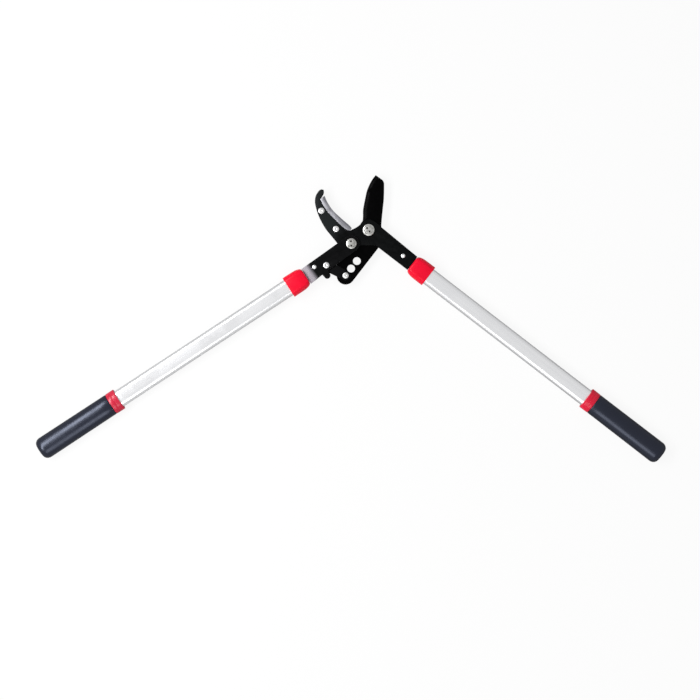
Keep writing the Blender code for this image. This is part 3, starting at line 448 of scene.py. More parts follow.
def ramp(tree, value, low, high, to_low=0.0, to_high=1.0):
    """Stretch a value range, smoothly and with its ends held."""
    stretch = tree.nodes.new("ShaderNodeMapRange")
    stretch.interpolation_type = "SMOOTHSTEP"
    for label, number in (("From Min", low), ("From Max", high),
                          ("To Min", to_low), ("To Max", to_high)):
        stretch.inputs[label].default_value = number
    tree.links.new(value, stretch.inputs["Value"])
    return stretch.outputs["Result"]


def times(tree, a, b, operation="MULTIPLY"):
    """Two values, sockets or numbers, put through one sum."""
    result = tree.nodes.new("ShaderNodeMath")
    result.operation = operation
    for socket, value in zip(result.inputs, (a, b)):
        if isinstance(value, (int, float)):
            socket.default_value = value
        else:
            tree.links.new(value, socket)
    return result.outputs[0]


# %% Grain, streaks, worn edges, handling and painted shade in hollows
GRAIN, entry, leave = new_group("grain", [("Vector", "NodeSocketVector", None),
                                          ("Scale", "NodeSocketFloat", 900.0)],
                                ["Height", "Mottle"])
fine = noise(GRAIN, entry.outputs["Vector"], entry.outputs["Scale"], 2.0)
coarse_scale = times(GRAIN, entry.outputs["Scale"], 0.11)
coarse = noise(GRAIN, entry.outputs["Vector"], coarse_scale, 4.0, 0.6)
GRAIN.links.new(times(GRAIN, fine, times(GRAIN, coarse, 0.5), "ADD"), leave.inputs["Height"])
GRAIN.links.new(ramp(GRAIN, coarse, 0.32, 0.68), leave.inputs["Mottle"])

STREAKS, entry, leave = new_group("streaks", [("Vector", "NodeSocketVector", None),
                                              ("Width Scale", "NodeSocketFloat", 2600.0)],
                                  ["Height", "Bands"])
lines = noise(STREAKS, entry.outputs["Vector"], entry.outputs["Width Scale"], 3.0, 0.7)
band_scale = times(STREAKS, entry.outputs["Width Scale"], 0.12)
bands = noise(STREAKS, entry.outputs["Vector"], band_scale, 2.0, 0.5)
STREAKS.links.new(lines, leave.inputs["Height"])
STREAKS.links.new(ramp(STREAKS, bands, 0.3, 0.7), leave.inputs["Bands"])

WORN, entry, leave = new_group("worn_edges", [("Vector", "NodeSocketVector", None),
                                              ("Radius", "NodeSocketFloat", 0.0006),
                                              ("Patch Scale", "NodeSocketFloat", 160.0)],
                               ["Mask"])
rounded = WORN.nodes.new("ShaderNodeBevel")
rounded.samples = 6
geometry = WORN.nodes.new("ShaderNodeNewGeometry")
agreement = WORN.nodes.new("ShaderNodeVectorMath")
agreement.operation = "DOT_PRODUCT"
WORN.links.new(entry.outputs["Radius"], rounded.inputs["Radius"])
WORN.links.new(rounded.outputs["Normal"], agreement.inputs[0])
WORN.links.new(geometry.outputs["Normal"], agreement.inputs[1])
edge = ramp(WORN, agreement.outputs["Value"], 0.995, 0.86)
patches = ramp(WORN, noise(WORN, entry.outputs["Vector"], entry.outputs["Patch Scale"], 5.0, 0.7),
               0.42, 0.62)
WORN.links.new(times(WORN, edge, patches), leave.inputs["Mask"])

HANDLED, entry, leave = new_group("handling", [("Vector", "NodeSocketVector", None),
                                               ("Scale", "NodeSocketFloat", 28.0)],
                                  ["Smudge", "Dust"])
smudge = ramp(HANDLED, noise(HANDLED, entry.outputs["Vector"], entry.outputs["Scale"], 5.0, 0.62),
              0.38, 0.66)
dust_scale = times(HANDLED, entry.outputs["Scale"], 60.0)
dust = ramp(HANDLED, noise(HANDLED, entry.outputs["Vector"], dust_scale, 1.0), 0.70, 0.80)
HANDLED.links.new(smudge, leave.inputs["Smudge"])
HANDLED.links.new(dust, leave.inputs["Dust"])

# Painted shade: an ambient occlusion mask that darkens hollows.
PAINTED_HOLLOW_SHADE, entry, leave = new_group("hollow_shade", [("Distance", "NodeSocketFloat", 0.002)], ["Mask"])
shade_of_hollows = PAINTED_HOLLOW_SHADE.nodes.new("ShaderNodeAmbientOcclusion")
shade_of_hollows.samples = 8
PAINTED_HOLLOW_SHADE.links.new(entry.outputs["Distance"], shade_of_hollows.inputs["Distance"])
PAINTED_HOLLOW_SHADE.links.new(ramp(PAINTED_HOLLOW_SHADE, shade_of_hollows.outputs["AO"], 0.97, 0.60), leave.inputs["Mask"])
print("groups:", [group.name for group in (GRAIN, STREAKS, WORN, HANDLED, PAINTED_HOLLOW_SHADE)])

# %% [markdown]
# ## Finishes
# Every finish has one shader with plain values for what is the same all over, and a few
# groups for what changes: the colour between two close tones, the roughness between two
# values, and a bump of a few hundredths of a millimetre or less.

# %% Finish helper


def finish(name, roughness, metallic=0.0, **plain):
    """A material with a shader, the object's coordinates and plain values set on sockets."""
    material = bpy.data.materials.new(name)
    material.use_nodes = True
    tree = material.node_tree
    shader = tree.nodes["Principled BSDF"]
    shader.inputs["Roughness"].default_value = roughness
    shader.inputs["Metallic"].default_value = metallic
    for label, value in plain.items():
        shader.inputs[label.replace("_", " ")].default_value = value
    place = tree.nodes.new("ShaderNodeTexCoord").outputs["Object"]
    return material, tree, shader, place


def use(tree, group, vector, **values):
    """Place a group in a material with its own values."""
    node = tree.nodes.new("ShaderNodeGroup")
    node.node_tree = group
    if vector is not None:
        tree.links.new(vector, node.inputs["Vector"])
    for label, value in values.items():
        node.inputs[label.replace("_", " ")].default_value = value
    return node


def turned_place(tree, place, angle, stretch):
    """Coordinates with X along a direction in the plan, squeezed by a stretch in that way."""
    mapping = tree.nodes.new("ShaderNodeMapping")
    mapping.vector_type = "TEXTURE"
    mapping.inputs["Rotation"].default_value = (0.0, 0.0, math.radians(angle))
    mapping.inputs["Scale"].default_value = (stretch, 1.0, 1.0)
    tree.links.new(place, mapping.inputs["Vector"])
    return mapping.outputs["Vector"]


def mixed(tree, mask, first, second):
    """A colour between two, by a mask. Either may be a socket or a colour."""
    mix = tree.nodes.new("ShaderNodeMix")
    mix.data_type = "RGBA"
    tree.links.new(mask, mix.inputs["Factor"])
    for label, colour in (("A", first), ("B", second)):
        socket = next(s for s in mix.inputs if s.name == label and s.type == "RGBA")
        if isinstance(colour, tuple):
            socket.default_value = (*colour, 1.0)
        else:
            tree.links.new(colour, socket)
    return next(s for s in mix.outputs if s.type == "RGBA")


def bump(tree, shader, height, depth, strength):
    """A small relief on the shader's normal."""
    relief = tree.nodes.new("ShaderNodeBump")
    relief.inputs["Distance"].default_value = depth
    relief.inputs["Strength"].default_value = strength
    tree.links.new(height, relief.inputs["Height"])
    tree.links.new(relief.outputs["Normal"], shader.inputs["Normal"])


def vary_gloss(tree, shader, mask, low, high):
    """Let a mask move the roughness between two values."""
    tree.links.new(ramp(tree, mask, 0.0, 1.0, low, high), shader.inputs["Roughness"])


def give(piece, material):
    """Paint a piece with one material."""
    piece.data.materials.clear()
    piece.data.materials.append(material)


# %% [markdown]
# Black coated steel is the finish of the plates and the arms: a satin powder coat with a fine
# orange peel, and a touch of grey where its edges are rubbed. The blade has a thinner, blacker
# non-stick coat. The hook of the body plate is painted a little lighter and bluer than the arms,
# as a painted sheen. Where the left arm steps down into its ferrule, a lighter grey is painted
# on the step as a painted highlight.

# %% Black coats
# Painted highlight: along the left arm, the coat turns to a lighter grey over its step.
BEND_START = 0.0770                     # along the left arm, where its step begins
BEND_SHEEN_FROM = 0.0875
BEND_PAINTED_SHEEN = (0.385, 0.360, 0.405)
# Painted sheen: towards the hook, the body plate turns lighter and bluer.
HOOK_START = 0.0350                     # from the main pivot towards the hook
HOOK_SHEEN_FROM = 0.0620
HOOK_ANGLE = 155.0
HOOK_PAINTED_SHEEN = (0.0155, 0.0180, 0.0190)
RUBBED_GREY = (0.16, 0.16, 0.165)       # where an edge's coat is rubbed thin
PLATE_TONES = (0.0022, 0.0025, 0.0027), (0.0042, 0.0046, 0.0050)
ARM_TONES = (0.0026, 0.0026, 0.0029), (0.0046, 0.0046, 0.0051)
BLADE_TONES = (0.0006, 0.0005, 0.0006), (0.0012, 0.0011, 0.0013)
# roughness, shine, scale of the orange peel, wear of the edges
PLATE_SKIN = (0.28, 0.05, 1500.0, 0.50)
BLADE_SKIN = (0.26, 0.02, 2200.0, 0.30)


def black_coat(name, tone, other_tone, roughness, shine, peel, wear, painted_sheen=None):
    material, tree, shader, place = finish(name, roughness, Specular_IOR_Level=shine)
    grain = use(tree, GRAIN, place, Scale=peel)
    worn = use(tree, WORN, place, Radius=0.0005)
    handled = use(tree, HANDLED, place)
    coat = mixed(tree, grain.outputs["Mottle"], tone, other_tone)
    worn_share = times(tree, worn.outputs["Mask"], wear)
    rubbed_and_sheen = mixed(tree, worn_share, coat, RUBBED_GREY)
    # Painted light: an optional lighter tone, ramped in along one direction from a pivot.
    if painted_sheen:
        start, full, angle, pivot, sheen_tone = painted_sheen
        along = tree.nodes.new("ShaderNodeVectorMath")
        along.operation = "DOT_PRODUCT"
        along.inputs[1].default_value = direction(angle)
        tree.links.new(place, along.inputs[0])
        reach = pivot.dot(direction(angle))
        sheen_share = ramp(tree, along.outputs["Value"], reach + start, reach + full)
        rubbed_and_sheen = mixed(tree, sheen_share, rubbed_and_sheen, sheen_tone)
    tree.links.new(rubbed_and_sheen, shader.inputs["Base Color"])
    vary_gloss(tree, shader, handled.outputs["Smudge"], roughness - 0.05, roughness + 0.07)
    bump(tree, shader, grain.outputs["Height"], 0.00002, 0.6)
    return material


# The body plates carry the painted sheen towards the hook.
plate_coat_painted_sheen = black_coat("plate_coat_painted_sheen", *PLATE_TONES, *PLATE_SKIN,
                        (HOOK_START, HOOK_SHEEN_FROM, HOOK_ANGLE, MAIN_PIVOT, HOOK_PAINTED_SHEEN))
arm_coat = black_coat("arm_coat", *ARM_TONES, *PLATE_SKIN)
# The left arm carries the painted highlight on its step.
left_arm_coat_painted_sheen = black_coat("left_arm_coat_painted_sheen", *ARM_TONES, *PLATE_SKIN,
                           (BEND_START, BEND_SHEEN_FROM, LEFT_ARM_ANGLE, HANDLE_PIVOT, BEND_PAINTED_SHEEN))
blade_coat = black_coat("blade_coat", *BLADE_TONES, *BLADE_SKIN)

# %% [markdown]
# Rivets and bolts are plated bright. They mirror the pale room, and a fine grain and painted
# shade in the hollows keep them from looking like white discs.

# %% Bright plating
# Painted shade: the dark tone put into the hollows of bright metal.
SHADE_TONE_IN_HOLLOWS = (0.055, 0.052, 0.050)


def bright_plating(name, tone, dull_tone, roughness):
    material, tree, shader, place = finish(name, roughness, metallic=1.0)
    grain = use(tree, GRAIN, place, Scale=1800.0)
    handled = use(tree, HANDLED, place, Scale=220.0)
    colour = mixed(tree, handled.outputs["Smudge"], tone, dull_tone)
    # Painted shade in dents, grooves and pin holes.
    hollow_shade = use(tree, PAINTED_HOLLOW_SHADE, None, Distance=0.0028)
    shaded_in_hollows = mixed(tree, hollow_shade.outputs["Mask"], colour, SHADE_TONE_IN_HOLLOWS)
    tree.links.new(shaded_in_hollows, shader.inputs["Base Color"])
    vary_gloss(tree, shader, grain.outputs["Mottle"], roughness - 0.06, roughness + 0.10)
    bump(tree, shader, grain.outputs["Height"], 0.000012, 0.7)
    return material


bolt_plating = bright_plating("bolt_plating", (0.62, 0.62, 0.60), (0.42, 0.42, 0.40), 0.22)
rivet_plating = bright_plating("rivet_plating", (0.80, 0.80, 0.80), (0.62, 0.62, 0.63), 0.26)
strip_rivet_plating = bright_plating("strip_rivet_plating", (0.66, 0.66, 0.65),
                                     (0.55, 0.55, 0.54), 0.42)

# %% [markdown]
# The anvil is a strip of soft metal, cast in the curve of the hook. Its streaks follow that
# curve, so they are drawn by the distance from the centre of a circle through three points of
# its face. A light band lies next to the hook, and a darker one along the face.

# %% Anvil metal
ANVIL_FACE_POINTS = [Vector((-0.0745, 0.0581)), Vector((-0.0502, 0.0233)), Vector((-0.0286, 0.0034))]
ANVIL_HALF_BAND = 0.0050
ANVIL_TONES = (0.10, 0.10, 0.115), (0.30, 0.30, 0.33)
ANVIL_HOOK_SIDE = (0.34, 0.34, 0.37)
STREAK_SQUEEZE = 0.06                   # draws the streaks out along the strip


def circle_through(a, b, c):
    """Centre and radius of the circle through three plan points."""
    d = 2 * (a.x * (b.y - c.y) + b.x * (c.y - a.y) + c.x * (a.y - b.y))
    x = (a.length_squared * (b.y - c.y) + b.length_squared * (c.y - a.y)
         + c.length_squared * (a.y - b.y)) / d
    y = (a.length_squared * (c.x - b.x) + b.length_squared * (a.x - c.x)
         + c.length_squared * (b.x - a.x)) / d
    middle = Vector((x, y))
    return middle, (a - middle).length


curve_middle, face_radius = circle_through(*ANVIL_FACE_POINTS)
curve_place = Vector((MAIN_PIVOT.x + curve_middle.x, MAIN_PIVOT.y + curve_middle.y, 0.0))
print("anvil curve: radius", round(face_radius, 4), "m")

anvil_metal, tree, shader, place = finish("anvil_metal", 0.38, metallic=1.0)
offset = tree.nodes.new("ShaderNodeVectorMath")
offset.operation = "SUBTRACT"
offset.inputs[1].default_value = curve_place
tree.links.new(place, offset.inputs[0])
flat_place = tree.nodes.new("ShaderNodeVectorMath")
flat_place.operation = "MULTIPLY"
flat_place.inputs[1].default_value = (1.0, 1.0, 0.0)
tree.links.new(offset.outputs["Vector"], flat_place.inputs[0])
radius = tree.nodes.new("ShaderNodeVectorMath")
radius.operation = "LENGTH"
tree.links.new(flat_place.outputs["Vector"], radius.inputs[0])
along = tree.nodes.new("ShaderNodeVectorMath")
along.operation = "SCALE"
along.inputs["Scale"].default_value = STREAK_SQUEEZE
tree.links.new(place, along.inputs[0])
across = tree.nodes.new("ShaderNodeCombineXYZ")
tree.links.new(radius.outputs["Value"], across.inputs["X"])
streak_place = tree.nodes.new("ShaderNodeVectorMath")
streak_place.operation = "ADD"
tree.links.new(along.outputs["Vector"], streak_place.inputs[0])
tree.links.new(across.outputs["Vector"], streak_place.inputs[1])
streaks = use(tree, STREAKS, streak_place.outputs["Vector"], Width_Scale=3200.0)
grain = use(tree, GRAIN, place, Scale=1200.0)
cast = mixed(tree, streaks.outputs["Bands"], *ANVIL_TONES)
hook_side = ramp(tree, radius.outputs["Value"], face_radius + ANVIL_HALF_BAND - 0.0006,
                 face_radius + ANVIL_HALF_BAND + 0.0010)
banded = mixed(tree, hook_side, cast, ANVIL_HOOK_SIDE)
tree.links.new(banded, shader.inputs["Base Color"])
vary_gloss(tree, shader, grain.outputs["Mottle"], 0.30, 0.48)
bump(tree, shader, streaks.outputs["Height"], 0.00003, 0.8)

# %% [markdown]
# The tubes are extruded aluminium with a satin skin. The die leaves straight streaks from end
# to end, so the pattern is turned to each tube's own direction and drawn out along it.

# %% Tube skin
TUBE_TONES = (0.91, 0.915, 0.935), (0.95, 0.955, 0.97)


def tube_skin(name, angle):
    material, tree, shader, place = finish(name, 0.18, metallic=1.0)
    along_tube = turned_place(tree, place, angle, 60.0)
    streaks = use(tree, STREAKS, along_tube, Width_Scale=2400.0)
    handled = use(tree, HANDLED, place, Scale=16.0)
    colour = mixed(tree, streaks.outputs["Bands"], *TUBE_TONES)
    tree.links.new(colour, shader.inputs["Base Color"])
    vary_gloss(tree, shader, handled.outputs["Smudge"], 0.20, 0.26)
    bump(tree, shader, streaks.outputs["Height"], 0.000003, 0.8)
    return material


tube_skins = {side: tube_skin(side + "_tube_skin", HANDLES[side][1]) for side in HANDLES}

# %% [markdown]
# Ferrules and collars are moulded in red plastic, with a gloss that is slightly uneven where
# the moulding shrank. The ferrules are the brighter and softer looking ones, and the collars
# are a slightly deeper red with a harder gloss. The left and right collars are copies of one
# red with their own tones and glosses, set to the light that falls on each: painted light.

# %% Red plastic
EDGE_RED = (0.95, 0.10, 0.13)           # paler red on edges that are handled


def moulded_red(name, tone, other_tone, roughness, shine):
    material, tree, shader, place = finish(name, roughness, Specular_IOR_Level=shine)
    grain = use(tree, GRAIN, place, Scale=700.0)
    handled = use(tree, HANDLED, place, Scale=60.0)
    worn = use(tree, WORN, place, Radius=0.0005, Patch_Scale=240.0)
    red = mixed(tree, grain.outputs["Mottle"], tone, other_tone)
    edge_share = times(tree, worn.outputs["Mask"], 0.20)
    tree.links.new(mixed(tree, edge_share, red, EDGE_RED), shader.inputs["Base Color"])
    vary_gloss(tree, shader, handled.outputs["Smudge"], roughness - 0.03, roughness + 0.09)
    bump(tree, shader, grain.outputs["Mottle"], 0.00001, 0.5)
    return material


ferrule_red = moulded_red("ferrule_red", (0.88, 0.0012, 0.026), (0.93, 0.0020, 0.032), 0.31, 0.18)
# Painted light: each collar has its own tone and gloss, set to how the light falls on its side.
collar_reds_painted_light = {
    "left": moulded_red("left_collar_red_painted_light", (0.55, 0.0040, 0.034), (0.61, 0.0055, 0.040), 0.28, 0.52),
    "right": moulded_red("right_collar_red_painted_light", (0.72, 0.0015, 0.032), (0.78, 0.0025, 0.038), 0.22,
                         0.40)}

# %% [markdown]
# The grips are slipped on vinyl, almost black with a blue tinge. Its skin is so fine that it
# only spreads the highlight into a long soft band.

# %% Grip vinyl
DUST_GREY = (0.06, 0.06, 0.07)
grip_vinyl, tree, shader, place = finish("grip_vinyl", 0.28, Specular_IOR_Level=0.57,
                                         Specular_Tint=(0.72, 0.79, 1.0, 1.0))
grain = use(tree, GRAIN, place, Scale=2600.0)
handled = use(tree, HANDLED, place, Scale=26.0)
vinyl = mixed(tree, grain.outputs["Mottle"], (0.0008, 0.0014, 0.0070), (0.0014, 0.0022, 0.0090))
dusty = times(tree, handled.outputs["Dust"], 0.20)
tree.links.new(mixed(tree, dusty, vinyl, DUST_GREY), shader.inputs["Base Color"])
vary_gloss(tree, shader, handled.outputs["Smudge"], 0.25, 0.31)
bump(tree, shader, grain.outputs["Height"], 0.000004, 0.6)

inner_plastic, tree, shader, place = finish("inner_plastic", 0.55)
grain = use(tree, GRAIN, place, Scale=900.0)
tree.links.new(mixed(tree, grain.outputs["Mottle"], (0.09, 0.09, 0.10), (0.12, 0.12, 0.13)),
               shader.inputs["Base Color"])
bump(tree, shader, grain.outputs["Height"], 0.00003, 0.6)

# %% [markdown]
# ## Plates, anvil and blade
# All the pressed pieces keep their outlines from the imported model. The anvil is softer than
# the steel, so its edges are rounded more.

# %% Pressed pieces
PRESSED_EDGE = 0.00035
ANVIL_EDGE = 0.0006
BLADE_EDGE = 0.00018

for node, coat in (("body_plate_front", plate_coat_painted_sheen), ("body_plate_back", plate_coat_painted_sheen),
                   ("left_arm_front", left_arm_coat_painted_sheen), ("left_arm_back", left_arm_coat_painted_sheen),
                   ("link_front", arm_coat), ("link_back", arm_coat)):
    give(rounded_copy(node, node + "_pressed", PRESSED_EDGE), coat)
give(rounded_copy("blade", "blade_ground", BLADE_EDGE, segments=1), blade_coat)
give(rounded_copy("anvil_insert", "anvil_cast", ANVIL_EDGE, segments=3), anvil_metal)

# %% [markdown]
# ## Rivets
# A rivet is pressed from both sides, so each head is a low dome with a small dent in its
# middle, left by the tool that closed it. One profile makes them all: the front head, the
# shank and the back head are turned together.

# %% Rivets
RIVET_DENT = 0.26                       # radius of the dent, as a share of the head's


def rivet_profile(head, height, seat, shank):
    """Half profile of a rivet round its axis, from the front dent to the back dent."""
    dent = head * RIVET_DENT
    dome = [(r, z) for r, z in curve_over(head, seat + height * 0.22, height * 0.78)
            if r > dent * 1.3]
    front = [(0.0, seat + height * 0.72), (dent * 0.6, seat + height * 0.75),
             (dent, seat + height * 0.86), (dent * 1.25, seat + height * 0.955)]
    front += dome + [(head * 0.985, seat + height * 0.06), (head * 0.95, seat), (shank, seat)]
    return front + [(r, -z) for r, z in reversed(front)]


def space_of(node):
    """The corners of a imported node's box, and where its upright axis meets the ground."""
    low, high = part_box(node)
    return low, high, Vector(((low.x + high.x) / 2, (low.y + high.y) / 2, 0.0))


def rivet(node, body, plating):
    """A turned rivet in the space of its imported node."""
    low, high, place = space_of(node)
    head = (high.x - low.x) / 2
    seat, height, shank = RIVETS[node]
    piece = turned(node + "_pressed", Vector((place.x, place.y, MIDDLE)),
                   rivet_profile(head, height, seat, shank))
    shade(piece, 40.0)
    give(piece, plating)
    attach(piece, body)
    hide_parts(node)


INNER_SEAT = 0.0056
OUTER_SEAT = 0.0089
# distance of the seat from the mid plane, height of the head, radius of the shank
RIVETS = {
    "anvil_rivet_upper": (INNER_SEAT, 0.0018, 0.0026),
    "anvil_rivet_lower": (INNER_SEAT, 0.0018, 0.0026),
    "right_arm_rivet": (INNER_SEAT, 0.0014, 0.0018),
    "left_arm_rivet": (OUTER_SEAT, 0.0014, 0.0018),
    "link_rivet_arm": (OUTER_SEAT, 0.0018, 0.0030),
    "link_rivet_blade": (INNER_SEAT, 0.0018, 0.0030),
}
for node in RIVETS:
    plating = strip_rivet_plating if node == "link_rivet_blade" else rivet_plating
    rivet(node, frame["nodes"][node]["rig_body"], plating)
print("rivets:", len(RIVETS))

# %% [markdown]
# ## Bolts, nuts and washer
# The two pivot bolts have wide low heads: a rounded rim, a shallow ring groove and a flat
# middle. The photograph shows two dark dots on each, turned differently, which are read as
# the blind holes for a pin spanner. They are cut with a tool whose lower end is pointed, as a
# drill leaves it.

# %% Pivot bolts
GROOVE_AT = 0.66                        # radius of the ring groove, as a share of the head's
GROOVE_WIDTH = 0.0005
GROOVE_DEPTH = 0.0004
PIN_HOLE_RADIUS = 0.0018
PIN_HOLE_PLACE = 0.0036                 # from the head's centre
PIN_HOLE_DEPTH = 0.0018
MAIN_SHANK = 0.0050
HANDLE_SHANK = 0.0045


def bolt_profile(head, top, seat, shank, end):
    """Half profile of a bolt: grooved face, rounded rim, shank and chamfered end."""
    height = top - seat
    groove = head * GROOVE_AT
    rim = [(head * r, seat + height * z) for r, z in
           ((0.80, 0.90), (0.87, 0.85), (0.93, 0.74), (0.975, 0.58), (1.0, 0.38), (1.0, 0.22),
            (0.985, 0.06), (0.96, 0.0))]
    face = [(0.0, top), (groove - GROOVE_WIDTH, top), (groove - GROOVE_WIDTH / 2, top - 0.0001),
            (groove, top - GROOVE_DEPTH), (groove + GROOVE_WIDTH, top - GROOVE_DEPTH),
            (groove + GROOVE_WIDTH * 1.4, top - height * 0.06)]
    foot = [(shank, seat), (shank, end + 0.0006), (shank - 0.0006, end), (0.0, end)]
    return face + rim + foot


def drill(centre, radius, low, high):
    """A round cutter with a pointed lower end."""
    bpy.ops.object.select_all(action="DESELECT")
    bpy.ops.mesh.primitive_cylinder_add(vertices=28, radius=radius, depth=high - low,
                                        location=(centre.x, centre.y, (low + high) / 2))
    tool = bpy.context.object
    bpy.ops.object.transform_apply(location=True, rotation=True, scale=True)
    pick(tool, "FACE", lambda place, normal: normal.z < -0.9)
    bpy.ops.mesh.extrude_region_move(TRANSFORM_OT_translate={"value": (0.0, 0.0, -radius * 0.3)})
    bpy.ops.mesh.merge(type="CENTER")
    close_and_turn_out(tool)
    return tool


def bolt(node, shank, seat, body, turned_to):
    """A turned bolt whose two pin holes lie along a direction."""
    low, high, place = space_of(node)
    head = (high.x - low.x) / 2
    piece = turned(node + "_turned", place, bolt_profile(head, high.z, MIDDLE + seat, shank, low.z))
    for angle in (turned_to, turned_to + 180.0):
        hole_place = place + direction(angle) * PIN_HOLE_PLACE
        cut(piece, drill(hole_place, PIN_HOLE_RADIUS, high.z - PIN_HOLE_DEPTH, high.z + 0.002))
    apply_modifier(piece, "BEVEL", width=0.00015, segments=2, limit_method="ANGLE",
                   angle_limit=math.radians(50.0))
    shade(piece, 35.0)
    give(piece, bolt_plating)
    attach(piece, body)
    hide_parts(node)


bolt("pivot_bolt", MAIN_SHANK, INNER_SEAT, "right_side", turned_to=-52.0)
bolt("handle_pivot_bolt", HANDLE_SHANK, OUTER_SEAT, "left_handle", turned_to=-85.0)

# %% [markdown]
# A nut is a hexagon whose corners are turned off at both faces. The turned envelope is
# intersected with a six sided prism, the way the real one is made, and the outer face gets
# the collar that holds the locking ring.

# %% Nuts and washer


def nut(node, bore, body):
    """A hexagon nut with a collar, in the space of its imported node."""
    low, high, place = space_of(node)
    radius = (high.x - low.x) / 2
    height = high.z - low.z
    collar = height * 0.28
    envelope = [(0.0, high.z), (radius * 0.88, high.z), (radius * 1.01, high.z - radius * 0.075),
                (radius * 1.01, low.z + collar + radius * 0.10), (radius * 0.80, low.z + collar),
                (radius * 0.78, low.z + 0.0004), (radius * 0.74, low.z), (0.0, low.z)]
    piece = turned(node + "_made", place, envelope)
    bpy.ops.object.select_all(action="DESELECT")
    bpy.ops.mesh.primitive_cylinder_add(vertices=6, radius=radius, depth=height + 0.002,
                                        location=place + Vector((0.0, 0.0, (low.z + high.z) / 2)),
                                        rotation=(0.0, 0.0, math.radians(30.0)))
    cut(piece, bpy.context.object, "INTERSECT")
    hole = turned(node + "_bore", place, [(0.0, high.z + 0.001), (bore + 0.0006, high.z + 0.001),
                                          (bore + 0.0006, high.z), (bore, high.z - 0.0006),
                                          (bore, low.z + 0.0005), (bore + 0.0005, low.z),
                                          (bore + 0.0005, low.z - 0.001), (0.0, low.z - 0.001)])
    cut(piece, hole)
    shade(piece, 28.0)
    give(piece, bolt_plating)
    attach(piece, body)
    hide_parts(node)


nut("pivot_nut", MAIN_SHANK + PLAY, "right_side")
nut("handle_pivot_nut", HANDLE_SHANK + PLAY, "left_handle")

low, high, place = space_of("pivot_washer")
outer, bore, edge = (high.x - low.x) / 2, MAIN_SHANK + PLAY, 0.0002
washer = turned("pivot_washer_made", place,
                [(bore, high.z), (outer - edge, high.z), (outer, high.z - edge),
                 (outer, low.z + edge), (outer - edge, low.z), (bore, low.z), (bore, high.z)])
shade(washer, 40.0)
give(washer, bolt_plating)
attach(washer, "right_side")
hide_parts("pivot_washer")

# %% [markdown]
# ## Handles
# From its mouth to its end, a handle is a ferrule, a bare tube, a collar and a grip. Their
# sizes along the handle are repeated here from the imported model. Both handles are made by the
# same steps, and the last step carries each piece to its own handle.

# %% Sizes of a handle
TUBE_WIDTH, TUBE_HEIGHT, TUBE_FLAT, TUBE_WALL = 0.0300, 0.0160, 0.0140, 0.0012
TUBE_START = 0.0120
FERRULE_LENGTH = 0.0350
TUBE_SHOWN = 0.3447
GRIP_SHIFTS = {"right": 0.0064, "left": 0.0}
COLLAR_LENGTH = 0.0160
GRIP_LENGTH = 0.1445
GRIP_FLAT = 0.0130
FULL_HEIGHT = 0.0264
TUBE_IN_GRIP = 0.1270                   # in the left grip
TUBE_END = FERRULE_LENGTH + TUBE_SHOWN + COLLAR_LENGTH + PLAY + TUBE_IN_GRIP


def collar_start(side):
    """Where a collar begins. The right one and its grip are pushed further on."""
    return FERRULE_LENGTH + TUBE_SHOWN - GRIP_SHIFTS[side]


def tube_cutter(start, end):
    """The tube's outer shape with its play, to bore what slides over it."""
    width, height = TUBE_WIDTH + 2 * PLAY, TUBE_HEIGHT + 2 * PLAY
    return oval_bar("tube_cutter", [(start, width, height), (end, width, height)], TUBE_FLAT)


# %% [markdown]
# The tube is an oval bar without its end faces, given a wall towards the inside. Its visible
# length is plain, so all its detail is in the satin streaks of its skin.

# %% Tubes


def make_tube(side):
    tube = oval_bar(side + "_tube_drawn", [(TUBE_START, TUBE_WIDTH, TUBE_HEIGHT),
                                           (TUBE_END, TUBE_WIDTH, TUBE_HEIGHT)], TUBE_FLAT)
    pick(tube, "FACE", lambda place, normal: abs(normal.x) > 0.9)
    bpy.ops.mesh.delete(type="FACE")
    apply_modifier(tube, "SOLIDIFY", thickness=TUBE_WALL, offset=-1.0)
    shade(tube, 40.0)
    carry_to_handle(tube, side)
    give(tube, tube_skins[side])
    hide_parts(side + "_tube")


# %% [markdown]
# The ferrule swells from a narrow mouth to its full width in a round shoulder, which is a
# quarter of an oval. A shallow groove runs round it beside the mouth, where the mould was
# closed, and a slot lets the two plates of the arm in.

# %% Ferrules
MOUTH_WIDTH, MOUTH_HEIGHT = 0.0262, 0.0209
SHOULDER_LENGTH, SHOULDER_WIDTH, SHOULDER_HEIGHT = 0.0160, 0.0374, 0.0259
FERRULE_WIDTH = 0.0378
RIM_ROUNDING = 0.0007
MOUTH_GROOVE = 0.0004                   # depth of the groove beside the mouth
GROOVE_STEP = 2                         # the step of the shoulder that it lies in
SLOT_HALF_WIDTH = 0.0101
SLOT_HALF_HEIGHT = 0.0056


def ferrule_sections():
    """The ferrule from its lip over the shoulder to its rim at the tube."""
    sections = [(0.0, MOUTH_WIDTH - 0.0010, MOUTH_HEIGHT - 0.0010),
                (0.0003, MOUTH_WIDTH, MOUTH_HEIGHT)]
    steps = 12
    for i in range(1, steps + 1):
        turn = math.pi / 2 * i / steps
        sunk = MOUTH_GROOVE if i == GROOVE_STEP else 0.0
        sections.append((0.0003 + (SHOULDER_LENGTH - 0.0003) * (1.0 - math.cos(turn)),
                         MOUTH_WIDTH + (SHOULDER_WIDTH - MOUTH_WIDTH) * math.sin(turn) - 2 * sunk,
                         MOUTH_HEIGHT + (SHOULDER_HEIGHT - MOUTH_HEIGHT) * math.sin(turn) - 2 * sunk))
    return sections + [(FERRULE_LENGTH - RIM_ROUNDING, FERRULE_WIDTH, FULL_HEIGHT),
                       (FERRULE_LENGTH - RIM_ROUNDING * 0.3, FERRULE_WIDTH - RIM_ROUNDING * 0.6,
                        FULL_HEIGHT - RIM_ROUNDING * 0.6),
                       (FERRULE_LENGTH, FERRULE_WIDTH - RIM_ROUNDING * 2,
                        FULL_HEIGHT - RIM_ROUNDING * 2)]


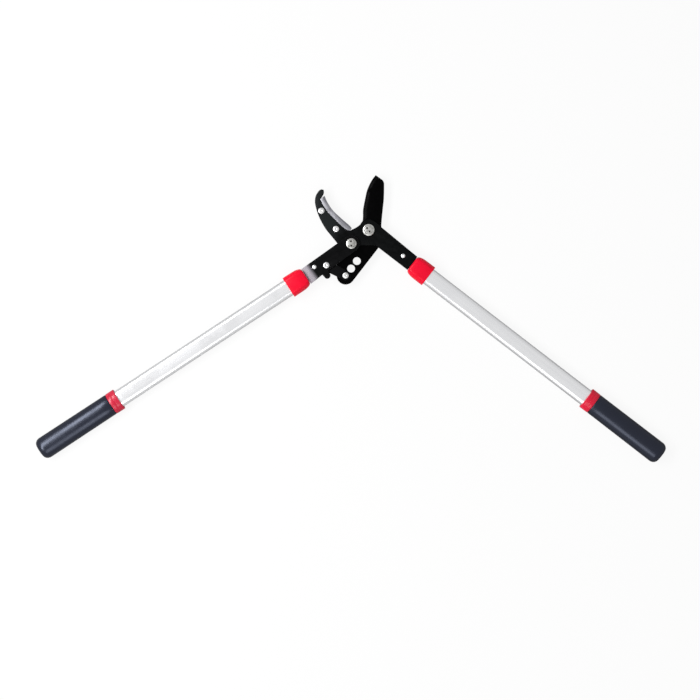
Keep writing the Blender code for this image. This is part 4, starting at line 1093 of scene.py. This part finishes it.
def box_cutter(name, start, end, half_width, half_height):
    bpy.ops.object.select_all(action="DESELECT")
    bpy.ops.mesh.primitive_cube_add(size=1.0, location=((start + end) / 2, 0.0, 0.0),
                                    scale=(end - start, 2 * half_width, 2 * half_height))
    bpy.context.object.name = name
    return bpy.context.object


def make_ferrule(side):
    ferrule = oval_bar(side + "_ferrule_moulded", ferrule_sections(), GRIP_FLAT)
    cut(ferrule, tube_cutter(TUBE_START - PLAY, FERRULE_LENGTH + 0.01))
    cut(ferrule, box_cutter("slot", -0.01, TUBE_START, SLOT_HALF_WIDTH, SLOT_HALF_HEIGHT))
    shade(ferrule, 35.0)
    carry_to_handle(ferrule, side)
    give(ferrule, ferrule_red)
    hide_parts(side + "_ferrule")


# %% [markdown]
# The collar at the grip is a short ring of a glossier red. Its top is round like the grip's,
# a fine groove runs round its middle, and it hardly tapers.

# %% Collars
COLLAR_SECTIONS = [
    (0.0000, 0.0369, 0.0252), (0.0003, 0.0378, 0.0260), (0.0009, 0.0383, FULL_HEIGHT),
    (0.0077, 0.0382, FULL_HEIGHT), (0.0081, 0.0377, 0.0259), (0.0085, 0.0381, 0.0263),
    (0.0151, 0.0379, 0.0262), (0.0157, 0.0375, 0.0258), (0.0160, 0.0368, 0.0250),
]


def make_collar(side):
    start = collar_start(side)
    sections = [(start + x, width, height) for x, width, height in COLLAR_SECTIONS]
    collar = oval_bar(side + "_collar_moulded", sections, GRIP_FLAT, round_top=True)
    cut(collar, tube_cutter(start - 0.01, start + COLLAR_LENGTH + 0.01))
    shade(collar, 28.0)
    carry_to_handle(collar, side)
    give(collar, collar_reds_painted_light[side])
    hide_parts(side + "_grip_collar")


# %% [markdown]
# The grip widens a little towards its closed end, which is rounded. Its lip at the collar is
# thin and soft, its top is round, and its flat underside keeps the tool from rolling.

# %% Grips
GRIP_MOUTH_WIDTH = 0.0376
GRIP_END_WIDTH = 0.0384
GRIP_ROUNDING = 0.0110
GRIP_END_NARROWING = 0.0184
GRIP_END_LOWERING = 0.0132
GRIP_STEPS = 9                          # sections of its straight length


def grip_sections():
    """The grip from its lip to its closed end."""
    straight = GRIP_LENGTH - GRIP_ROUNDING
    sections = [(0.0, GRIP_MOUTH_WIDTH - 0.0018, FULL_HEIGHT - 0.0018),
                (0.0004, GRIP_MOUTH_WIDTH - 0.0008, FULL_HEIGHT - 0.0008),
                (0.0012, GRIP_MOUTH_WIDTH, FULL_HEIGHT - 0.0002)]
    for i in range(1, GRIP_STEPS):
        share = i / GRIP_STEPS
        sections.append((0.0012 + (straight - 0.0012) * share,
                         GRIP_MOUTH_WIDTH + (GRIP_END_WIDTH - GRIP_MOUTH_WIDTH) * share,
                         FULL_HEIGHT))
    steps = 12
    for i in range(steps + 1):
        turn = math.pi / 2 * i / steps
        closed_in = 1.0 - math.cos(turn)
        sections.append((straight + GRIP_ROUNDING * math.sin(turn),
                         GRIP_END_WIDTH - GRIP_END_NARROWING * closed_in,
                         FULL_HEIGHT - GRIP_END_LOWERING * closed_in))
    return sections


def make_grip(side):
    start = collar_start(side) + COLLAR_LENGTH + PLAY
    sections = [(start + x, width, height) for x, width, height in grip_sections()]
    grip = oval_bar(side + "_grip_slipped_on", sections, GRIP_FLAT, round_top=True)
    cut(grip, tube_cutter(start - 0.01, TUBE_END + PLAY))
    shade(grip, 35.0)
    carry_to_handle(grip, side)
    give(grip, grip_vinyl)
    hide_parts(side + "_grip")


for side in HANDLES:
    make_tube(side)
    make_ferrule(side)
    make_collar(side)
    make_grip(side)
print("handles done")

# %% [markdown]
# ## Pieces inside
# Tang blocks, plugs, cross rivets, bushes and spacers can't be seen from outside. They keep
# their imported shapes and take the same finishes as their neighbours.

# %% Finishes of the inner pieces
INNER_FINISHES = [
    (rivet_plating, ("right_tang_block", "left_tang_block", "right_tang_rivet",
                     "left_tang_rivet", "blade_bush", "handle_pivot_bush", "right_arm_spacer",
                     "left_arm_spacer")),
    (inner_plastic, ("right_tube_plug", "left_tube_plug")),
]
for material, names in INNER_FINISHES:
    for name in names:
        give(frame["nodes"][name], material)

# %% [markdown]
# ## Last settings
# The view is left at plain colours.

# %% View
bpy.context.scene.view_settings.view_transform = "Standard"
